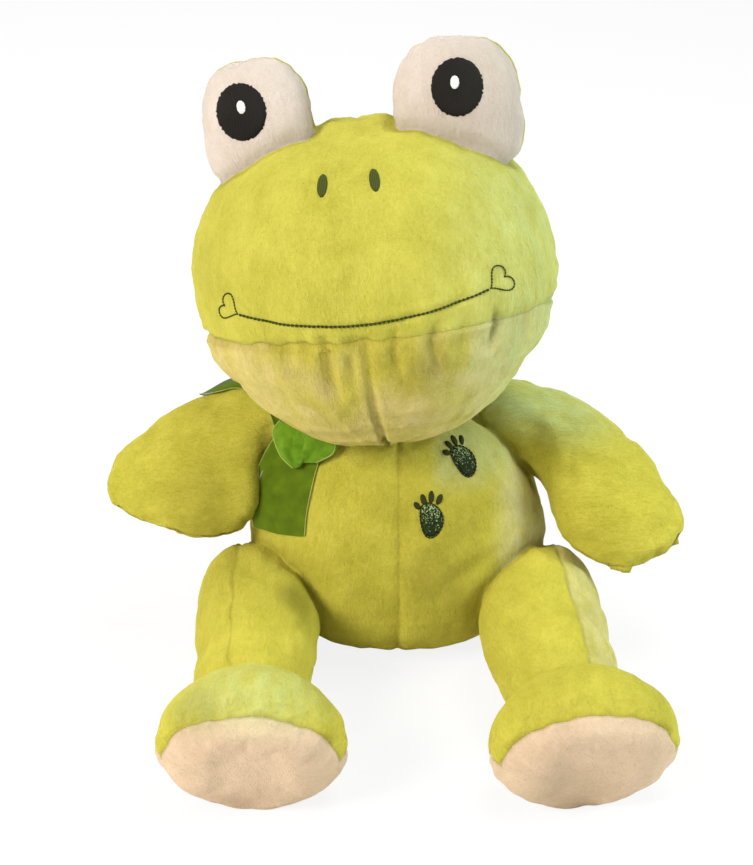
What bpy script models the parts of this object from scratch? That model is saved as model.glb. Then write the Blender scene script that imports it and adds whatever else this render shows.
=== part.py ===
"""A sitting plush frog, sewn from short-pile fabric panels over stuffing.

The frog sits on the floor plane z = 0 and faces -Y, and its own left side is +X. The origin is the middle of
its flat seat. Each stuffed form is a coarse loft cage that Subdivision Surface rounds off, and the cage's
faces are marked with the fabric panel that they belong to. A panel is the rounded surface over its own faces
with the fabric's thickness, and the stuffing is a smaller form inside.
"""

import math
from collections import namedtuple

import bmesh
import bpy
from mathutils import Matrix, Vector
from mathutils.bvhtree import BVHTree

MM = 0.001

# Fabric, stuffing and the clearances between sewn pieces
SKIN = 1.5 * MM
SEAM_GAP = 0.4 * MM
STUFFING_GAP = 0.9 * MM
SEAT_GAP = 0.3 * MM
NECK_GAP = 0.3 * MM
LIMB_GAP = 0.8 * MM
FLOOR_FLAT = 0.5 * MM
CUT_OVERRUN = 40 * MM
VIEW_REACH = 150 * MM
WELD_REACH = 0.01 * MM

# Torso
TORSO_HEIGHT = 105 * MM
TORSO_WIDTH = 128 * MM
TORSO_DEPTH = 103 * MM

# Neck, whose stuffing is a ball between torso and head
NECK_BALL_RADIUS = 19 * MM
NECK_SUNK = 1 * MM
NECK_HEIGHT = TORSO_HEIGHT - NECK_SUNK
NECK_FORWARD = 6 * MM

# Head, placed from the middle of the neck ball
HEAD_HEIGHT = 134 * MM
HEAD_WIDTH = 150 * MM
HEAD_DEPTH = 118 * MM
HEAD_ABOVE_NECK = 65 * MM
HEAD_BEFORE_NECK = 10 * MM
HEAD_PITCH_BACK = 12
HEAD_ROLL = 8
HEAD_YAW = 4

# Eye pouches, placed in the head's own frame
EYE_LENGTH = 61 * MM
EYE_WIDTH_LEFT = 54 * MM
EYE_WIDTH_RIGHT = 48 * MM
EYE_DEPTH = 35 * MM
EYE_SIDE_LEFT = 38 * MM
EYE_SIDE_RIGHT = 34 * MM
EYE_ROOT_HEIGHT = 36 * MM
EYE_BEFORE_MIDDLE = 4 * MM
EYE_LEAN_OUT = 6

# Arms
ARM_LENGTH = 66 * MM
ARM_WIDTH = 42 * MM
ARM_DEPTH = 38 * MM
ARM_BEND_LEFT = 59 * MM
ARM_BEND_RIGHT = 49.5 * MM
SHOULDER_SIDE_SHARE = 0.65625
SHOULDER_SUNK = 13 * MM
SHOULDER_HEIGHT = TORSO_HEIGHT - SHOULDER_SUNK
SHOULDER_BACK = 12 * MM
ARM_FORWARD = 48
HAND_WIDTH_LEFT = 56 * MM
HAND_WIDTH_RIGHT = 66 * MM

# Room that the head leaves over the shoulders, and the torso round the limbs' roots
ARM_ROOM_REACH = 50 * MM
LEG_ROOM_REACH = 58 * MM
ROOM_STEPS = 4
HULL_MERGE = 1.5 * MM

# Legs and feet
LEG_LENGTH = 98 * MM
LEG_THICKNESS = 50 * MM
HIP_SIDE_SHARE = 0.90625
HIP_HEIGHT = 27 * MM
HIP_BEFORE_MIDDLE = 26 * MM
LEG_SPREADS = {"left": 7, "right": 1}
FOOT_DEPTH = 52 * MM
FOOT_WIDTH = 75 * MM
FOOT_HEIGHT = 58 * MM
FOOT_FROM_HIP = 107 * MM
FOOT_RISE = 2 * MM
FOOT_INWARD_LEFT = 1 * MM
FOOT_INWARD_RIGHT = 3 * MM
FOOT_TILT_DOWN = 16

# Embroidery
THREAD = 0.9 * MM
EMBROIDERY_GAP = 0.5 * MM
PUPIL_WIDTH = 20 * MM
PUPIL_HEIGHT = 22 * MM
PUPIL_UP_EYE = 39 * MM
PUPIL_OUTWARD_LEFT = 1 * MM
PUPIL_OUTWARD_RIGHT = 3.5 * MM
GLINT_WIDTH = 3.6 * MM
GLINT_HEIGHT = 5.2 * MM
GLINT_UP = 2 * MM
NOSTRIL_WIDTH = 4.0 * MM
NOSTRIL_HEIGHT = 8.0 * MM
NOSTRIL_SIDE = 10 * MM
NOSTRIL_UP = 46 * MM
MOUTH_HALF_WIDTH = 51 * MM
MOUTH_UP = -6 * MM
MOUTH_RISE = 6 * MM
MOUTH_THREAD_RADIUS = 0.8 * MM
HEART_WIDTH = 13 * MM
HEART_HEIGHT = 9.5 * MM
HEART_TURN = 60
HEART_THREAD_RADIUS = 0.6 * MM
FOOTPRINT_GAP = 1.0 * MM
FOOTPRINT_WIDTH = 10 * MM
FOOTPRINT_LENGTH = 15 * MM
TOE_REACH = 10.5 * MM

# Ribbon, tied round the neck with its knot on the frog's right
RIBBON_WIDTH = 25 * MM
RIBBON_BUNCHED = 7 * MM
RIBBON_THICKNESS = 0.8 * MM
RIBBON_LIFT = 1.3 * MM
KNOT_LIFT = 0.5 * MM
RIBBON_DRAPE = 4 * MM
RIBBON_LOOSE = 10 * MM
RIBBON_LOOSE_WAY = 160
HEAD_OVER_RIBBON = 3.4 * MM
RIBBON_RADIUS = 21 * MM
KNOT_WIDTH = 13 * MM
KNOT_HEIGHT = 11 * MM
KNOT_DEPTH = 9 * MM
KNOT_SIDE_SHARE = 0.469
KNOT_SUNK = 15 * MM
LOOP_BELOW_KNOT = 3 * MM
LOOP_LENGTH = 8.5 * MM
LOOP_HEIGHT = 8 * MM
LOOP_WIDTH = 7 * MM
TAIL_LENGTH = 30 * MM
TAIL_OUTWARD = 10 * MM
TAIL_GAP = 0.4 * MM

# What the joints may do, in degrees
ARM_RAISE = 45
ARM_LOWER = 35
LEG_RAISE = 20
LEG_LOWER = 60
HEAD_TURN = 20
HEAD_NOD_DOWN = 10
HEAD_NOD_BACK = 10

Station = namedtuple("Station", "along across through slide rise tilt", defaults=(0, 0, 0))

# Scene and objects


def clear_scene():
    for obj in list(bpy.data.objects):
        bpy.data.objects.remove(obj)


def new_collection(name):
    made = bpy.data.collections.new(name)
    bpy.context.scene.collection.children.link(made)
    return made


def material(name, colour, roughness=0.95):
    made = bpy.data.materials.new(name)
    made.use_nodes = True
    shader = made.node_tree.nodes["Principled BSDF"]
    shader.inputs["Base Color"].default_value = (*colour, 1)
    shader.inputs["Roughness"].default_value = roughness
    shader.inputs["Metallic"].default_value = 0
    return made


def pivot(name, location, parent=None):
    """An empty on a joint's axis, for the pieces that move with it."""
    empty = bpy.data.objects.new(name, None)
    PARTS.objects.link(empty)
    empty.parent = parent
    start = parent.matrix_world.inverted() if parent else Matrix()
    empty.matrix_basis = start @ Matrix.Translation(location)
    bpy.context.view_layer.update()
    return empty


def new_part(name, mesh, finish, parent, placement=Matrix()):
    mesh.shade_smooth()
    mesh.materials.clear()
    mesh.materials.append(finish)
    obj = bpy.data.objects.new(name, mesh)
    PARTS.objects.link(obj)
    obj.parent = parent
    obj.matrix_basis = parent.matrix_world.inverted() @ placement
    return obj


def mesh_of(name, model):
    mesh = bpy.data.meshes.new(name)
    model.to_mesh(mesh)
    model.free()
    return mesh


def evaluated_mesh(obj):
    """The mesh of a temporary object with its modifiers applied. The object goes."""
    CUTTERS.objects.link(obj)
    bpy.context.view_layer.update()
    mesh = bpy.data.meshes.new_from_object(obj.evaluated_get(bpy.context.evaluated_depsgraph_get()))
    bpy.data.objects.remove(obj)
    return mesh


def cutter(name, mesh, placement=Matrix()):
    obj = bpy.data.objects.new(name, mesh)
    CUTTERS.objects.link(obj)
    obj.matrix_world = placement
    obj.hide_render = True
    obj.display_type = "WIRE"
    return obj


def cut(pieces, *tools):
    for obj in pieces:
        for tool in tools:
            boolean = obj.modifiers.new("cut_by_" + tool.name, "BOOLEAN")
            boolean.operation = "DIFFERENCE"
            boolean.object = tool


def subdivide(obj, levels=1):
    rounding = obj.modifiers.new("rounding", "SUBSURF")
    rounding.levels = levels
    rounding.render_levels = levels


def thicken(obj, thickness, offset):
    shell = obj.modifiers.new("thickness", "SOLIDIFY")
    shell.thickness = thickness
    shell.offset = offset


def flatten_faces(obj):
    """Splits bent quads, so that each face is flat."""
    obj.modifiers.new("flat_faces", "TRIANGULATE")


def turned(degrees, axis):
    return Matrix.Rotation(math.radians(degrees), 4, axis)


def about(centre, swing):
    return Matrix.Translation(centre) @ swing @ Matrix.Translation(-centre)


def frame_of(origin, outward, across):
    """A placement whose local Z is outward and whose local X is nearest to across."""
    z_axis = Vector(outward).normalized()
    y_axis = z_axis.cross(Vector(across)).normalized()
    x_axis = y_axis.cross(z_axis)
    turn = Matrix((x_axis, y_axis, z_axis)).transposed().to_4x4()
    return Matrix.Translation(origin) @ turn


# Stuffed forms


class Form:
    """A stuffed form: rings of a loft along local Z, closed to a pole at each end."""

    def __init__(self, name, stations, size, sides, placement, panel_of, start=0.0):
        self.name = name
        self.stations = stations
        self.width, self.depth, self.length = size
        self.sides = sides
        self.placement = placement
        self.panel_of = panel_of
        self.start = start

    def middle(self, station, inset):
        """A station's middle, drawn towards the form's own middle by the inset."""
        first, last = self.stations[0].along, self.stations[-1].along
        share = (station.along - first) / (last - first)
        facing = Matrix.Rotation(math.radians(station.tilt), 3, "Y") @ Vector((0, 0, 1))
        place = Vector((station.slide * self.width, station.rise * self.depth, station.along * self.length))
        return place + facing * inset * (1 - 2 * share)

    def ring(self, station, sides, inset):
        """A ring's points, swollen so that the subdivided ring has the station's true size."""
        swell = 3 / (2 + math.cos(2 * math.pi / sides))
        half_across = (station.across * self.width / 2 - inset) * swell
        half_through = (station.through * self.depth / 2 - inset) * swell
        turn = Matrix.Rotation(math.radians(station.tilt), 3, "Y")
        angles = [2 * math.pi * (side + self.start) / sides for side in range(sides)]
        flat = [Vector((half_across * math.cos(a), half_through * math.sin(a), 0)) for a in angles]
        return [self.middle(station, inset) + turn @ point for point in flat]

    def cage(self, sides, inset=0.0):
        model = bmesh.new()
        bottom = model.verts.new(self.middle(self.stations[0], inset))
        top = model.verts.new(self.middle(self.stations[-1], inset))
        rings = [
            [model.verts.new(point) for point in self.ring(station, sides, inset)]
            for station in self.stations[1:-1]
        ]
        for side in range(sides):
            ahead = (side + 1) % sides
            faces = [(bottom, rings[0][ahead], rings[0][side])]
            faces += [(low[side], low[ahead], high[ahead], high[side]) for low, high in zip(rings, rings[1:])]
            faces.append((rings[-1][side], rings[-1][ahead], top))
            for row, corners in enumerate(faces):
                model.faces.new(corners).material_index = self.panel_of(row, side)
        return mesh_of(self.name + "_cage", model)

    def rounded(self, grow=0.0):
        """The form's outer surface in local coordinates, moved out by grow."""
        obj = bpy.data.objects.new(self.name + "_rounded", self.cage(self.sides))
        subdivide(obj)
        if grow:
            swollen = obj.modifiers.new("clearance", "DISPLACE")
            swollen.mid_level = 0
            swollen.strength = grow
        model = bmesh.new()
        model.from_mesh(evaluated_mesh(obj))
        bmesh.ops.triangulate(model, faces=model.faces)
        return mesh_of(self.name + "_rounded", model)

    def surface(self, swing=Matrix()):
        """The rounded surface in world space, to lay embroidery or ribbon on."""
        mesh = self.rounded()
        points = [swing @ self.placement @ vertex.co for vertex in mesh.vertices]
        return BVHTree.FromPolygons(points, [tuple(face.vertices) for face in mesh.polygons])

    def cage_points(self):
        """The cage in world space, which lies a little outside the rounded surface."""
        return [self.placement @ vertex.co for vertex in self.cage(self.sides).vertices]

    def points(self, grow):
        """The rounded surface's points in world space, moved out by grow."""
        return [self.placement @ vertex.co for vertex in self.rounded(grow).vertices]

    def panel(self, name, index, finish, parent):
        """The fabric panel over the faces marked with this index."""
        model = bmesh.new()
        model.from_mesh(self.rounded())
        facing = {vertex: vertex.normal.copy() for vertex in model.verts}
        others = [face for face in model.faces if face.material_index != index]
        bmesh.ops.delete(model, geom=others, context="FACES")
        draw_in_border(model, facing)
        for face in model.faces:
            face.material_index = 0
        obj = new_part(name, mesh_of(name, model), finish, parent, self.placement)
        thicken(obj, SKIN, -1)
        return obj

    def stuffing(self, name, sides, finish, parent):
        """The filling inside the panels."""
        mesh = self.cage(sides, SKIN + STUFFING_GAP)
        for face in mesh.polygons:
            face.material_index = 0
        obj = new_part(name, mesh, finish, parent, self.placement)
        subdivide(obj)
        return obj

    def grown_cutter(self, gap):
        return cutter(self.name + "_cutter", self.rounded(gap), self.placement)


def draw_in_border(model, facing):
    """Insets an open panel at its border, far enough that neighbouring panels stay apart.

    The thickness goes in along the panel's own normal, which leans over the border, so the lean is added.
    """
    model.normal_update()
    border = [vertex for vertex in model.verts if vertex.is_boundary]
    lean = max(vertex.normal.cross(facing[vertex]).length for vertex in border)
    inset = SEAM_GAP / 2 + SKIN * lean
    rim = bmesh.ops.inset_region(
        model, faces=model.faces[:], thickness=inset, use_boundary=True, use_even_offset=True
    )
    bmesh.ops.delete(model, geom=rim["faces"], context="FACES")


# Places of the forms

NECK = Vector((0, -NECK_FORWARD, NECK_HEIGHT))
NECK_AROUND = 18
NECK_ALONG = 10
HEAD_PLACE = (
    Matrix.Translation(NECK)
    @ turned(-HEAD_YAW, "Z")
    @ turned(-HEAD_ROLL, "Y")
    @ Matrix.Translation((0, -HEAD_BEFORE_NECK, HEAD_ABOVE_NECK))
    @ turned(-HEAD_PITCH_BACK, "X")
)
SIDE_SIGNS = {"left": 1, "right": -1}
EYE_WIDTHS = {"left": EYE_WIDTH_LEFT, "right": EYE_WIDTH_RIGHT}
EYE_SIDES_OUT = {"left": EYE_SIDE_LEFT, "right": EYE_SIDE_RIGHT}
PUPIL_OUTWARD = {"left": PUPIL_OUTWARD_LEFT, "right": PUPIL_OUTWARD_RIGHT}
ARM_BENDS = {"left": ARM_BEND_LEFT, "right": ARM_BEND_RIGHT}
HAND_WIDTHS = {"left": HAND_WIDTH_LEFT, "right": HAND_WIDTH_RIGHT}
FOOT_INWARD = {"left": FOOT_INWARD_LEFT, "right": FOOT_INWARD_RIGHT}
KNOT_X = -KNOT_SIDE_SHARE * TORSO_WIDTH / 2
KNOT_Z = TORSO_HEIGHT - KNOT_SUNK
LOOP_Z = KNOT_Z - LOOP_BELOW_KNOT
FORWARD = Vector((0, -1, 0))
UP = Vector((0, 0, 1))

TORSO_SHARES = [
    Station(0.00, 0.00, 0.00),
    Station(0.00, 0.66, 0.66, rise=0.02),
    Station(0.17, 0.96, 0.97),
    Station(0.42, 1.02, 1.02, rise=-0.01),
    Station(0.66, 0.93, 0.88, rise=0.01),
    Station(0.87, 0.75, 0.68, rise=0.02),
    Station(0.97, 0.44, 0.44, rise=-0.02),
    Station(1.00, 0.00, 0.00, rise=-0.05),
]
TORSO_SIDES = 12
TORSO_PANELS = ("seat_panel", "belly_panel_left", "belly_panel_right", "back_panel_left", "back_panel_right")

HEAD_SHARES = [
    Station(-0.45, 0.00, 0.00),
    Station(-0.48, 0.33, 0.46),
    Station(-0.39, 0.59, 0.77),
    Station(-0.25, 0.83, 0.94),
    Station(-0.12, 0.99, 1.02),
    Station(0.14, 0.97, 0.97),
    Station(0.40, 0.74, 0.76),
    Station(0.53, 0.00, 0.00),
]
HEAD_SIDES = 12
JAW_ROWS = 4
HEAD_PANELS = ("face_panel", "jaw_panel_left", "jaw_panel_right", "head_back_left", "head_back_right")

EYE_SHARES = [
    Station(0.00, 0.00, 0.00),
    Station(0.06, 0.95, 0.88),
    Station(0.50, 1.03, 1.03),
    Station(0.88, 0.80, 0.74),
    Station(1.00, 0.00, 0.00),
]
EYE_SIDES = 8

LEG_SHARES = {
    "left": [
        Station(-0.27, 0.00, 0.00),
        Station(-0.22, 0.66, 0.66),
        Station(0.00, 1.09, 1.05, slide=0.02),
        Station(0.45, 1.03, 0.97, slide=-0.04),
        Station(1.00, 0.92, 0.84, slide=-0.03),
        Station(1.04, 0.00, 0.00, slide=-0.03),
    ],
    "right": [
        Station(-0.27, 0.00, 0.00),
        Station(-0.22, 0.66, 0.66),
        Station(0.00, 1.09, 1.05, slide=-0.03),
        Station(0.45, 0.96, 0.97),
        Station(1.00, 0.86, 0.84),
        Station(1.04, 0.00, 0.00),
    ],
}
LEG_SIDES = 8
LEG_SEAM_START = 0.5

FOOT_SHARES = [
    Station(-0.50, 0.00, 0.00),
    Station(-0.45, 0.50, 0.54),
    Station(-0.18, 0.90, 0.92),
    Station(0.06, 1.02, 1.02),
    Station(0.24, 0.97, 0.96),
    Station(0.41, 0.62, 0.60),
    Station(0.46, 0.00, 0.00),
]
FOOT_SIDES = 8
FOOT_UPPER_ROWS = 4


# Each row: along, across, through, bend, tilt. Bend is a share of the arm's bend, and the last rows' across is a
# share of the hand's width.
ARM_ROWS = {
    "left": (
        (0.28, 1.00, 0.98, 0.07, 8),
        (0.62, 1.18, 0.96, 0.40, 48),
        (0.79, 1.00, 0.74, 0.81, 74),
        (0.94, 0.74, 0.43, 1.00, 68),
        (0.96, 0.00, 0.00, 1.17, 68),
    ),
    "right": (
        (0.28, 1.00, 0.98, 0.00, 14),
        (0.62, 1.43, 0.88, 0.43, 46),
        (0.77, 1.00, 0.72, 0.67, 62),
        (0.91, 0.84, 0.37, 0.91, 68),
        (0.93, 0.00, 0.00, 1.04, 68),
    ),
}
HAND_ROW = 2


def arm_shares(side):
    """An arm goes straight out of the shoulder, then droops, widens and flattens into the hand."""
    root_share = ARM_DEPTH / ARM_WIDTH
    bend_share = ARM_BENDS[side] / ARM_WIDTH
    hand_share = HAND_WIDTHS[side] / ARM_WIDTH
    stations = [
        Station(-0.16, 0.00, 0.00),
        Station(-0.14, 0.70 * root_share, 0.70),
        Station(-0.02, 0.98 * root_share, 0.98),
    ]
    for row, (along, across, through, bend, tilt) in enumerate(ARM_ROWS[side]):
        width_share = across * hand_share if row >= HAND_ROW else across
        stations.append(Station(along, width_share, through, slide=bend * bend_share, tilt=tilt))
    return stations


ARM_SIDES = 8


def torso_panel(row, side):
    """Seat, belly left, belly right, back left, back right."""
    return 0 if row == 0 else (3, 4, 2, 1)[side // (TORSO_SIDES // 4)]


def head_panel(row, side):
    """Face, jaw left, jaw right, back left, back right."""
    quarter = side // (HEAD_SIDES // 4)
    if quarter < 2:
        return (3, 4)[quarter]
    return (2, 1)[quarter - 2] if row < JAW_ROWS else 0


def far_half(row, side):
    """Local -Y half is 0, the other 1, for forms of 8 sides."""
    return 1 if side < EYE_SIDES // 2 else 0


def near_half(row, side):
    return 1 - far_half(row, side)


def left_leg_panel(row, side):
    """Outer is 0, inner 1."""
    return 0 if side in (5, 6, 7, 0) else 1


def right_leg_panel(row, side):
    return 0 if side in (2, 3, 4, 5) else 1


def foot_panel(row, side):
    """Foot upper is 0, sole 1, which reaches further back under the foot than over it."""
    rows = FOOT_UPPER_ROWS if side < FOOT_SIDES // 2 else FOOT_UPPER_ROWS - 1
    return 0 if row < rows else 1


def torso_form():
    size = (TORSO_WIDTH, TORSO_DEPTH, TORSO_HEIGHT + FLOOR_FLAT)
    sunk = Matrix.Translation((0, 0, -FLOOR_FLAT))
    return Form("torso", TORSO_SHARES, size, TORSO_SIDES, sunk, torso_panel)


def head_form():
    size = (HEAD_WIDTH, HEAD_DEPTH, HEAD_HEIGHT)
    return Form("head", HEAD_SHARES, size, HEAD_SIDES, HEAD_PLACE, head_panel)


def eye_form(side):
    sign = SIDE_SIGNS[side]
    root = Matrix.Translation((sign * EYE_SIDES_OUT[side], -EYE_BEFORE_MIDDLE, EYE_ROOT_HEIGHT))
    placement = HEAD_PLACE @ root @ turned(sign * EYE_LEAN_OUT, "Y")
    size = (EYE_WIDTHS[side], EYE_DEPTH, EYE_LENGTH)
    return Form("eye_" + side, EYE_SHARES, size, EYE_SIDES, placement, far_half)


def shoulder(side):
    out = SHOULDER_SIDE_SHARE * TORSO_WIDTH / 2
    return Vector((SIDE_SIGNS[side] * out, SHOULDER_BACK, SHOULDER_HEIGHT))


def arm_form(side):
    outward = (SIDE_SIGNS[side], 0, 0)
    forward = math.radians(ARM_FORWARD)
    droop = (0, -math.sin(forward), -math.cos(forward))
    placement = frame_of(shoulder(side), outward, droop)
    halves = far_half if side == "right" else near_half
    size = (ARM_WIDTH, ARM_DEPTH, ARM_LENGTH)
    shares = arm_shares(side)
    return Form("arm_" + side, shares, size, ARM_SIDES, placement, halves)


def hip(side):
    out = HIP_SIDE_SHARE * TORSO_WIDTH / 2
    return Vector((SIDE_SIGNS[side] * out, -HIP_BEFORE_MIDDLE, HIP_HEIGHT - FLOOR_FLAT))


def leg_outward(side):
    spread = math.radians(LEG_SPREADS[side])
    rise = FOOT_RISE / FOOT_FROM_HIP
    return Vector((SIDE_SIGNS[side] * math.sin(spread), -math.cos(spread), rise)).normalized()


def leg_form(side):
    placement = frame_of(hip(side), leg_outward(side), (1, 0, 0))
    size = (LEG_THICKNESS, LEG_THICKNESS, LEG_LENGTH)
    halves = left_leg_panel if side == "left" else right_leg_panel
    return Form("leg_" + side, LEG_SHARES[side], size, LEG_SIDES, placement, halves, LEG_SEAM_START)


def foot_form(side):
    spread = math.radians(LEG_SPREADS[side])
    down = math.radians(FOOT_TILT_DOWN)
    facing = Vector((SIDE_SIGNS[side] * math.sin(spread), -math.cos(spread), -math.sin(down)))
    inward = Vector((-SIDE_SIGNS[side] * FOOT_INWARD[side], 0, 0))
    middle = hip(side) + leg_outward(side) * FOOT_FROM_HIP + inward
    placement = frame_of(middle, facing, (1, 0, 0))
    return Form("foot_" + side, FOOT_SHARES, (FOOT_WIDTH, FOOT_HEIGHT, FOOT_DEPTH), FOOT_SIDES, placement, foot_panel)


# Cutters


def floor_cutter():
    model = bmesh.new()
    bmesh.ops.create_cube(model, size=1)
    reach = TORSO_WIDTH + 2 * FOOT_FROM_HIP + CUT_OVERRUN
    bmesh.ops.scale(model, verts=model.verts, vec=(2 * reach, 2 * reach, CUT_OVERRUN))
    bmesh.ops.translate(model, verts=model.verts, vec=(0, 0, -CUT_OVERRUN / 2))
    return cutter("floor_cutter", mesh_of("floor_cutter", model))


def neck_cutter():
    """A ball whose flats all clear the neck's stuffing."""
    flats = math.cos(math.pi / NECK_AROUND) * math.cos(math.pi / 2 / NECK_ALONG)
    mesh = neck_ball("neck_cutter", (NECK_BALL_RADIUS + NECK_GAP) / flats)
    return cutter("neck_cutter", mesh, Matrix.Translation(NECK))


def neck_ball(name, radius):
    model = bmesh.new()
    bmesh.ops.create_uvsphere(model, u_segments=NECK_AROUND, v_segments=NECK_ALONG, radius=radius)
    return mesh_of(name, model)


def swept_cutter(name, points, centre, swings):
    """The room that some points need when they swing about a centre, as one convex block."""
    model = bmesh.new()
    for swing in swings:
        for point in points:
            model.verts.new(centre + swing @ (point - centre))
    bmesh.ops.convex_hull(model, input=model.verts)
    loose = [vertex for vertex in model.verts if not vertex.link_faces]
    bmesh.ops.delete(model, geom=loose, context="VERTS")
    bmesh.ops.remove_doubles(model, verts=model.verts, dist=HULL_MERGE)
    bmesh.ops.recalc_face_normals(model, faces=model.faces)
    return cutter(name, mesh_of(name, model))


def limb_room_cutter(form, joint, reach, low, high):
    """The room in the torso for a limb's root between its joint's limits, in degrees about X."""
    points = [point for point in form.points(LIMB_GAP) if (point - joint).length < reach]
    angles = [low + (high - low) * step / ROOM_STEPS for step in range(ROOM_STEPS + 1)]
    return swept_cutter(form.name + "_room", points, joint, [turned(angle, "X") for angle in angles])


def head_room_cutter(points):
    """The room under the head for the shoulders and the ribbon, when the head turns and nods over them."""
    near = [point for point in points if point.z > SHOULDER_HEIGHT and abs(point.x) < HEAD_WIDTH / 2]
    turns = (-HEAD_TURN, 0, HEAD_TURN)
    nods = (-HEAD_NOD_BACK, 0, HEAD_NOD_DOWN)
    swings = [turned(-nod, "X") @ turned(-turn, "Z") for turn in turns for nod in nods]
    return swept_cutter("head_room", near, NECK, swings)


# Embroidery


def patch(name, outline, view, surface, finish, parent, lift=EMBROIDERY_GAP, rings=3):
    """A pad of stitches: a star-shaped outline in the plane of view, laid on the surface below it."""
    model = bmesh.new()
    middle = model.verts.new(laid(view, Vector((0, 0)), surface, lift))
    rows = []
    for ring in range(1, rings + 1):
        rows.append([model.verts.new(laid(view, point * ring / rings, surface, lift)) for point in outline])
    for index in range(len(outline)):
        ahead = (index + 1) % len(outline)
        model.faces.new((middle, rows[0][index], rows[0][ahead]))
        for low, high in zip(rows, rows[1:]):
            model.faces.new((low[index], high[index], high[ahead], low[ahead]))
    obj = new_part(name, mesh_of(name, model), finish, parent)
    thicken(obj, THREAD, 1)
    flatten_faces(obj)


def laid(view, point, surface, lift):
    """The place on the surface under a point of a view plane, raised by lift."""
    start = view @ Vector((point.x, point.y, VIEW_REACH))
    down = view.to_3x3() @ Vector((0, 0, -1))
    place, normal, index, distance = surface.ray_cast(start, down)
    return place + normal * lift


def oval(width, height, sides, turn=0):
    tilt = Matrix.Rotation(math.radians(turn), 2)
    angles = [2 * math.pi * side / sides for side in range(sides)]
    return [tilt @ Vector((width / 2 * math.cos(a), height / 2 * math.sin(a))) for a in angles]


def stitched_line(name, points, radius, view, surface, finish, parent, closed=False):
    """A line of thread laid on the surface, as a tube."""
    path = [laid(view, point, surface, radius + EMBROIDERY_GAP) for point in points]
    curve = bpy.data.curves.new(name, "CURVE")
    curve.dimensions = "3D"
    curve.bevel_depth = radius
    curve.bevel_resolution = 1
    curve.use_fill_caps = True
    spline = curve.splines.new("POLY")
    spline.points.add(len(path) - 1)
    spline.use_cyclic_u = closed
    for knot, place in zip(spline.points, path):
        knot.co = (*place, 1)
    curve.materials.append(finish)
    obj = bpy.data.objects.new(name, curve)
    PARTS.objects.link(obj)
    obj.parent = parent
    obj.matrix_basis = parent.matrix_world.inverted()
    weld = obj.modifiers.new("weld_caps", "WELD")
    weld.merge_threshold = WELD_REACH
    flatten_faces(obj)


def head_view():
    """Looks at the head from in front, with X to the frog's left and Y up."""
    return HEAD_PLACE @ frame_of((0, 0, 0), FORWARD, (1, 0, 0))


def make_pupil(side, eye, parent):
    sign = SIDE_SIGNS[side]
    surface = eye.surface()
    view = eye.placement @ frame_of((sign * PUPIL_OUTWARD[side], 0, PUPIL_UP_EYE), FORWARD, (1, 0, 0))
    patch("pupil_" + side, oval(PUPIL_WIDTH, PUPIL_HEIGHT, 16), view, surface, BLACK, parent)
    above = view @ Matrix.Translation((0, GLINT_UP, 0))
    lift = 2 * EMBROIDERY_GAP + THREAD
    patch("glint_" + side, oval(GLINT_WIDTH, GLINT_HEIGHT, 8), above, surface, CREAM, parent, lift, 1)


def make_nostril(side, surface, parent):
    sign = SIDE_SIGNS[side]
    view = head_view() @ Matrix.Translation((sign * NOSTRIL_SIDE, NOSTRIL_UP, 0))
    outline = oval(NOSTRIL_WIDTH, NOSTRIL_HEIGHT, 10, sign * 8)
    patch("nostril_" + side, outline, view, surface, DARK_GREEN, parent, rings=2)


def mouth_point(share):
    """A place on the mouth's line, for a share from -1 to 1 of its half width."""
    return Vector((share * MOUTH_HALF_WIDTH, MOUTH_UP + MOUTH_RISE * share * share))


def make_mouth(surface, parent):
    points = [mouth_point(step / 13 - 1) for step in range(27)]
    stitched_line("mouth_stitching", points, MOUTH_THREAD_RADIUS, head_view(), surface, DARK_GREEN, parent)


def heart_outline(steps):
    """A heart whose tip is at the origin and whose lobes are up."""
    points = []
    for step in range(steps):
        angle = 2 * math.pi * (step + 0.5) / steps
        across = math.sin(angle) ** 3
        up = (13 * math.cos(angle) - 5 * math.cos(2 * angle) - 2 * math.cos(3 * angle) - math.cos(4 * angle)) / 29
        points.append(Vector((across * HEART_WIDTH / 2, (up + 17 / 29) * HEART_HEIGHT)))
    return points


def make_heart(side, surface, parent):
    sign = SIDE_SIGNS[side]
    tilt = Matrix.Rotation(math.radians(-sign * HEART_TURN), 2)
    corner = mouth_point(sign * 1.02)
    points = [corner + tilt @ point for point in heart_outline(14)]
    stitched_line(
        "heart_stitching_" + side, points, HEART_THREAD_RADIUS, head_view(), surface, DARK_GREEN, parent, True
    )


def footprint_outline():
    """An oval sole with five toe strokes that fan out over its top."""
    sole = [
        Vector((FOOTPRINT_WIDTH / 2 * math.cos(a), FOOTPRINT_LENGTH / 2 * math.sin(a)))
        for a in [math.radians(angle) for angle in range(162, 379, 24)]
    ]
    toes = []
    for toe in range(5):
        middle = 42 + 24 * toe
        for lean, reach in ((-12, 0.6), (-6, 1.0), (6, 1.0)):
            angle = math.radians(middle + lean)
            toes.append(Vector((math.cos(angle), math.sin(angle))) * TOE_REACH * reach)
    return toes + sole


def make_footprint(name, side_share, height_share, turn, surface, parent):
    """A footprint at shares of the torso's half width and height, turned in degrees."""
    x = side_share * TORSO_WIDTH / 2
    spot, normal = in_front(surface, x, height_share * TORSO_HEIGHT, 0)
    view = frame_of(spot, normal, (1, 0, 0)) @ turned(turn, "Z")
    patch(name, footprint_outline(), view, surface, DARK_GREEN, parent, FOOTPRINT_GAP, 2)


# Ribbon


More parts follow.
